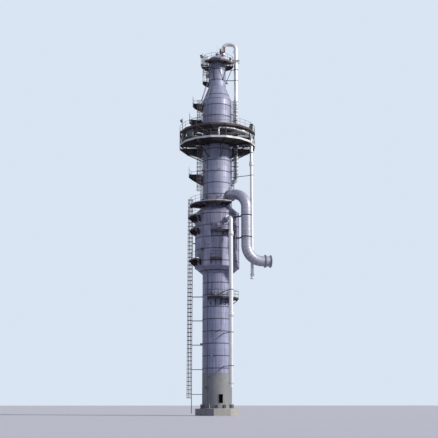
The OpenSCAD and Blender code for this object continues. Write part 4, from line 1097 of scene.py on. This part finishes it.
def conduits():
    """Two cable conduits up the column, with clips and junction boxes."""
    piece = Piece("cable_conduits", "platform_steel", BOLT_STEEL, LAMP_PAINT)
    off, azimuths = 0.035, (-56, -54.4)
    line = [
        (LOWER_R, PEDESTAL_H + 0.35), (LOWER_R, LOWER_CONE_Z - 0.05), (WIDE_R, WIDE_Z - 0.02),
        (WIDE_R, UPPER_CONE_Z + 0.02), (MIDDLE_R, MIDDLE_Z + 0.05), (MIDDLE_R, TRANSITION_Z + 0.02),
        (TOP_R, TOP_Z + 0.04), (TOP_R, HEAD_Z - 0.12),
    ]
    for az in azimuths:
        piece.sweep([polar(r + off, az, z) for r, z in line], round_bar(0.0115), up=Spot(az).side,
                    smooth=True)
    mid = sum(azimuths) / 2
    for r, z0, z1, _ in SECTIONS:
        for z in steps(max(z0, PEDESTAL_H) + 0.25, z1 - 0.1, BAND_PITCH):
            at = Spot(mid, r + off, z)
            piece.beam(*across(at(), at.side, 0.045), rect(-0.008, 0.008, -0.035, -0.011), up=at.out)
            piece.beam(*across(at(), at.side, 0.034), rect(-0.008, 0.008, 0.0105, 0.0135), up=at.out)
    piece.kind = 1
    for r, z in ((LOWER_R, PEDESTAL_H + 1.5), (WIDE_R, WIDE_Z + 1.25), (MIDDLE_R, MID_DECK_Z + 0.55),
                 (MIDDLE_R, LOWER_RING_Z + 0.45), (MIDDLE_R, UPPER_RING_Z + 0.5), (TOP_R, TOP_Z + 1.45)):
        at = Spot(mid, r + 0.055, z)
        piece.beam(*across(at(), UP, 0.1), rect(-0.075, 0.075, 0, 0.07), up=at.out)
        piece.beam(*across(at(0.07), UP, 0.092), rect(-0.067, 0.067, 0, 0.008), up=at.out)
        for side in (-0.056, 0.056):
            for up in (-0.08, 0.08):
                piece.bolt(at(0.078, side, up), at.out, 0.005)
    piece.make()


def flood_light(piece, foot, height, heads):
    """A post with floodlights. heads holds the azimuth and the height of each."""
    piece.rod(foot, foot + UP * height, 0.016, 10)
    piece.turned(foot, UP, [(0.045, 0), (0.045, 0.008), (0.02, 0.03)], 12)
    piece.turned(foot + UP * height, UP, [(0.016, 0), (0.02, 0.006), (0.012, 0.02)], 10)
    for az, h in heads:
        ahead, strap = polar(1, az), flat(0.004, 0.012)
        d = (ahead - UP * 0.55).normalized()
        side = d.cross(UP).normalized()
        top = side.cross(d)
        at = foot + UP * h + ahead * 0.09
        piece.beam(foot + UP * h, at + ahead * 0.01, flat(0.01, 0.01))
        for edge in across(at, side, 0.1):
            piece.beam(edge - ahead * 0.03, edge + d * 0.03, strap)
        piece.beam(*across(at - ahead * 0.03, side, 0.104), strap)

        def ring(along, wide, tall):
            return [at + d * along + side * x + top * y for x, y in flat(wide, tall)]

        piece.loft([ring(-0.06, 0.05, 0.035), ring(0.0, 0.085, 0.07), ring(0.06, 0.09, 0.075)])
        for k in range(-2, 3):
            fin = at + side * (0.02 * k)
            piece.beam(fin - d * 0.075, fin - d * 0.02, flat(0.002, 0.05))
        piece.kind = 1
        piece.loft([ring(0.06, 0.082, 0.067), ring(0.063, 0.082, 0.067)])
        piece.kind = 0


def lights():
    piece = Piece("floodlights", "platform_steel", LAMP_PAINT, LENS)
    posts = [
        (1.285, -125, TOP_DECK_Z, 1.18, ((-125, 1.0), (-60, 0.86), (170, 0.92))),
        (1.285, 115, TOP_DECK_Z, 1.0, ((115, 0.84), (60, 0.9))),
    ]
    for az in map(ring_azimuth, (0, 8, 12)):
        posts.append((2.78, az, UPPER_RING_Z, 1.15, ((az + 25, 0.97), (az - 30, 0.9))))
    posts.append((2.09, 12, MID_DECK_Z, 1.05, ((12, 0.9),)))
    for r, az, z, height, heads in posts:
        flood_light(piece, polar(r, az, z + ON_DECK), height, heads)
    piece.make()


def cabinet(piece, az, z, wide):
    """A closed electrical cabinet on two legs inside the handrail, with its door, hinges and conduit."""
    at = Spot(az, 2.80, z)
    tall, deep, leg_h = 0.56, 0.2, 0.25

    def face(along, grow):
        return [at(-along, x, leg_h + tall / 2 + y) for x, y in flat(wide / 2 + grow, tall / 2 + grow)]

    piece.loft([face(0.0, -0.006), face(0.006, 0.0), face(deep - 0.006, 0.0), face(deep, -0.006)])
    piece.loft([face(deep + 0.001, -0.02), face(deep + 0.014, -0.022), face(deep + 0.018, -0.03)])
    roof, half = leg_h + tall, wide / 2 + 0.02
    piece.beam(at(0.02, 0, roof), at(-deep - 0.04, 0, roof), rect(-half, half, 0.002, 0.012))
    piece.kind = 1
    for side in (-1, 1):
        leg = at(-deep / 2, side * wide * 0.4)
        piece.beam(leg + UP * ON_DECK, leg + UP * leg_h, flat(0.02, 0.003), up=at.out)
        piece.beam(*across(leg + UP * 0.008, at.out, 0.05), flat(0.03, 0.004))
        hinge = at(-deep - 0.012, wide * 0.46, leg_h + tall * (0.5 + side * 0.3))
        piece.rod(*across(hinge, UP, 0.03), 0.008)
    grip = at(-deep - 0.03, -wide * 0.38, leg_h + tall * 0.5)
    piece.rod(*across(grip, UP, 0.05), 0.007)
    for end in across(grip, UP, 0.045):
        piece.rod(end, end + at.out * 0.03, 0.006)
    for side in (-0.25, 0.0, 0.25):
        foot = at(-deep / 2, side * wide)
        piece.rod(foot + UP * 0.01, foot + UP * 0.26, 0.012)
        piece.turned(foot + UP * 0.25, -UP, [(0.02, 0), (0.02, 0.02), (0.013, 0.035)], 10)
    piece.kind = 0


def cabinets():
    piece = Piece("lighting_cabinets", "platform_steel", CABINET_PAINT, BOLT_STEEL)
    for az, z, wide in ((-98, LOWER_RING_Z, 0.42), (-87, LOWER_RING_Z, 0.42), (-64, LOWER_RING_Z, 0.62),
                        (74, UPPER_RING_Z, 0.42), (83, UPPER_RING_Z, 0.42), (172, LOWER_RING_Z, 0.62)):
        cabinet(piece, az, z, wide)
    piece.make()


def top_gear():
    """Fittings of the relief valve, the vent and the davit."""
    valve, outlet = polar(0.44, 22, HEAD_Z + 0.4), polar(1, 66)
    vent = UP * (HEAD_Z + TOP_R * 0.5 + 0.23)
    bolts = Piece("head_bolts", "platform_steel", BOLT_STEEL)
    flange_bolts(bolts, valve, UP, 0.079, 8, 0.009, 0.02)
    flange_bolts(bolts, valve + UP * 0.13 + outlet * 0.15, outlet, 0.079, 8, 0.009, 0.02)
    for middle, r, size in ((valve + UP * 0.25, 0.079, 0.009), (vent, 0.122, 0.011)):
        for at in circle(middle, UP, r, 8, RIGHT):
            bolts.bolt(at, UP, size)
    bolts.make()
    piece = Piece("head_gear", "platform_steel", LAMP_PAINT, BOLT_STEEL)
    piece.turned(vent, UP, [(0.15, 0), (0.15, 0.024), (0.05, 0.026), (0.04, 0.1), (0.0, 0.105)], 24)
    piece.kind = 1
    piece.turned(vent + UP * 0.1, UP, [(0.008, 0), (0.007, 0.6), (0.001, 0.72)], 8, True)
    piece.kind = 0
    lever = valve + UP * 0.47
    piece.beam(lever, lever - outlet * 0.16 + UP * 0.03, flat(0.008, 0.006))
    for k in range(6):
        piece.hoop(valve + UP * (0.27 + 0.03 * k), UP, 0.05, 0.062, 0.004, 24)
    tip = polar(1.0, 25) + Vector((0.66, 0, HEAD_Z + 0.95))
    piece.kind = 1
    piece.hoop(tip, RIGHT, 0.026, 0.04, 0.02, 20)
    piece.beam(tip - UP * 0.03, tip - UP * 0.09, flat(0.006, 0.014), up=BACK)
    for k in range(9):
        at = tip - UP * (0.1 + 0.034 * k)
        way = RIGHT if k % 2 else BACK
        link = [at + way * (0.009 * math.cos(t)) + UP * (0.021 * math.sin(t)) for t in turns(10)]
        piece.sweep(link, round_bar(0.0035, 6), up=way.cross(UP), closed=True, smooth=True)
    piece.kind = 0
    block = tip - UP * 0.42
    piece.turned(block + UP * 0.02, -UP, [(0.012, 0), (0.034, 0.012), (0.034, 0.07), (0.014, 0.085)], 14)
    hook = [block - UP * (0.06 + 0.035 * (1 - math.cos(a))) + RIGHT * (0.035 * math.sin(a))
            for a in [math.pi * k / 8 * 1.35 for k in range(9)]]
    piece.sweep(hook, round_bar(0.008, 8), up=BACK, smooth=True)
    piece.make()


cladding_trim()
line_support()
instruments()
level_bridle()
conduits()
lights()
cabinets()
top_gear()


# Camera, light and stage

AIM = Vector((0.15, 0, 14.75))
EYE = Vector((-15.9, -62, 0.8))


def camera():
    data = bpy.data.cameras.new("camera")
    data.lens = 70
    data.clip_end = 2000
    made = placed("camera", data)
    made.location = EYE
    made.rotation_euler = (AIM - EYE).to_track_quat("-Z", "Y").to_euler()
    bpy.context.scene.camera = made


def lamp(name, energy, colour, direction, angle):
    """Sunlight from a direction, soft by the angle that its source takes up."""
    data = bpy.data.lights.new(name, "SUN")
    data.energy = energy
    data.color = colour
    data.angle = math.radians(angle)
    placed(name, data).rotation_euler = direction.to_track_quat("Z", "Y").to_euler()


def world():
    """Blue light from the sky, and a pale backdrop for the camera and for what mirrors or passes light."""
    made = bpy.data.worlds.new("studio")
    bpy.context.scene.world = made
    made.use_nodes = True
    tree = made.node_tree
    back, seen = tree.nodes["Background"], tree.nodes.new("ShaderNodeBackground")
    for node, colour, strength in ((back, (0.45, 0.50, 1.0, 1), 0.22), (seen, (0.70, 0.78, 0.90, 1), 1.0)):
        node.inputs["Color"].default_value = colour
        node.inputs["Strength"].default_value = strength
    path = tree.nodes.new("ShaderNodeLightPath")
    shown = path.outputs["Is Camera Ray"]
    for ray in ("Is Glossy Ray", "Is Transmission Ray"):
        both = tree.nodes.new("ShaderNodeMath")
        both.operation = "MAXIMUM"
        tree.links.new(shown, both.inputs[0])
        tree.links.new(path.outputs[ray], both.inputs[1])
        shown = both.outputs[0]
    mix = tree.nodes.new("ShaderNodeMixShader")
    for source, target in zip((shown, back.outputs[0], seen.outputs[0]), mix.inputs):
        tree.links.new(source, target)
    tree.links.new(mix.outputs[0], tree.nodes["World Output"].inputs[0])


def floor_sheet():
    """A grey floor, darker in the light that it throws back."""
    mesh = bpy.data.meshes.new("studio_floor")
    mesh.from_pydata([(x, y, 0) for x, y in flat(600, 600)], [], [(0, 1, 2, 3)])
    made = placed("studio_floor", mesh)
    m = Nodes("floor_paint", (0.78, 0.79, 0.80))
    m.layer(m.ramp(m.noise(0.4), 0.3, 0.7), 0.15, (0.72, 0.73, 0.74))
    m.layer(m.node("ShaderNodeLightPath").outputs["Is Diffuse Ray"], 1.0, (0.30, 0.31, 0.34))
    mesh.materials.append(m.finish(0.9))


camera()
world()
floor_sheet()
lamp("key", 3.2, (1.0, 0.97, 0.92), polar(1, 54, 0.5), 6)
lamp("fill", 0.12, (0.8, 0.86, 1.0), polar(1, -70, 0.3), 40)

bpy.context.scene.view_settings.view_transform = "Standard"
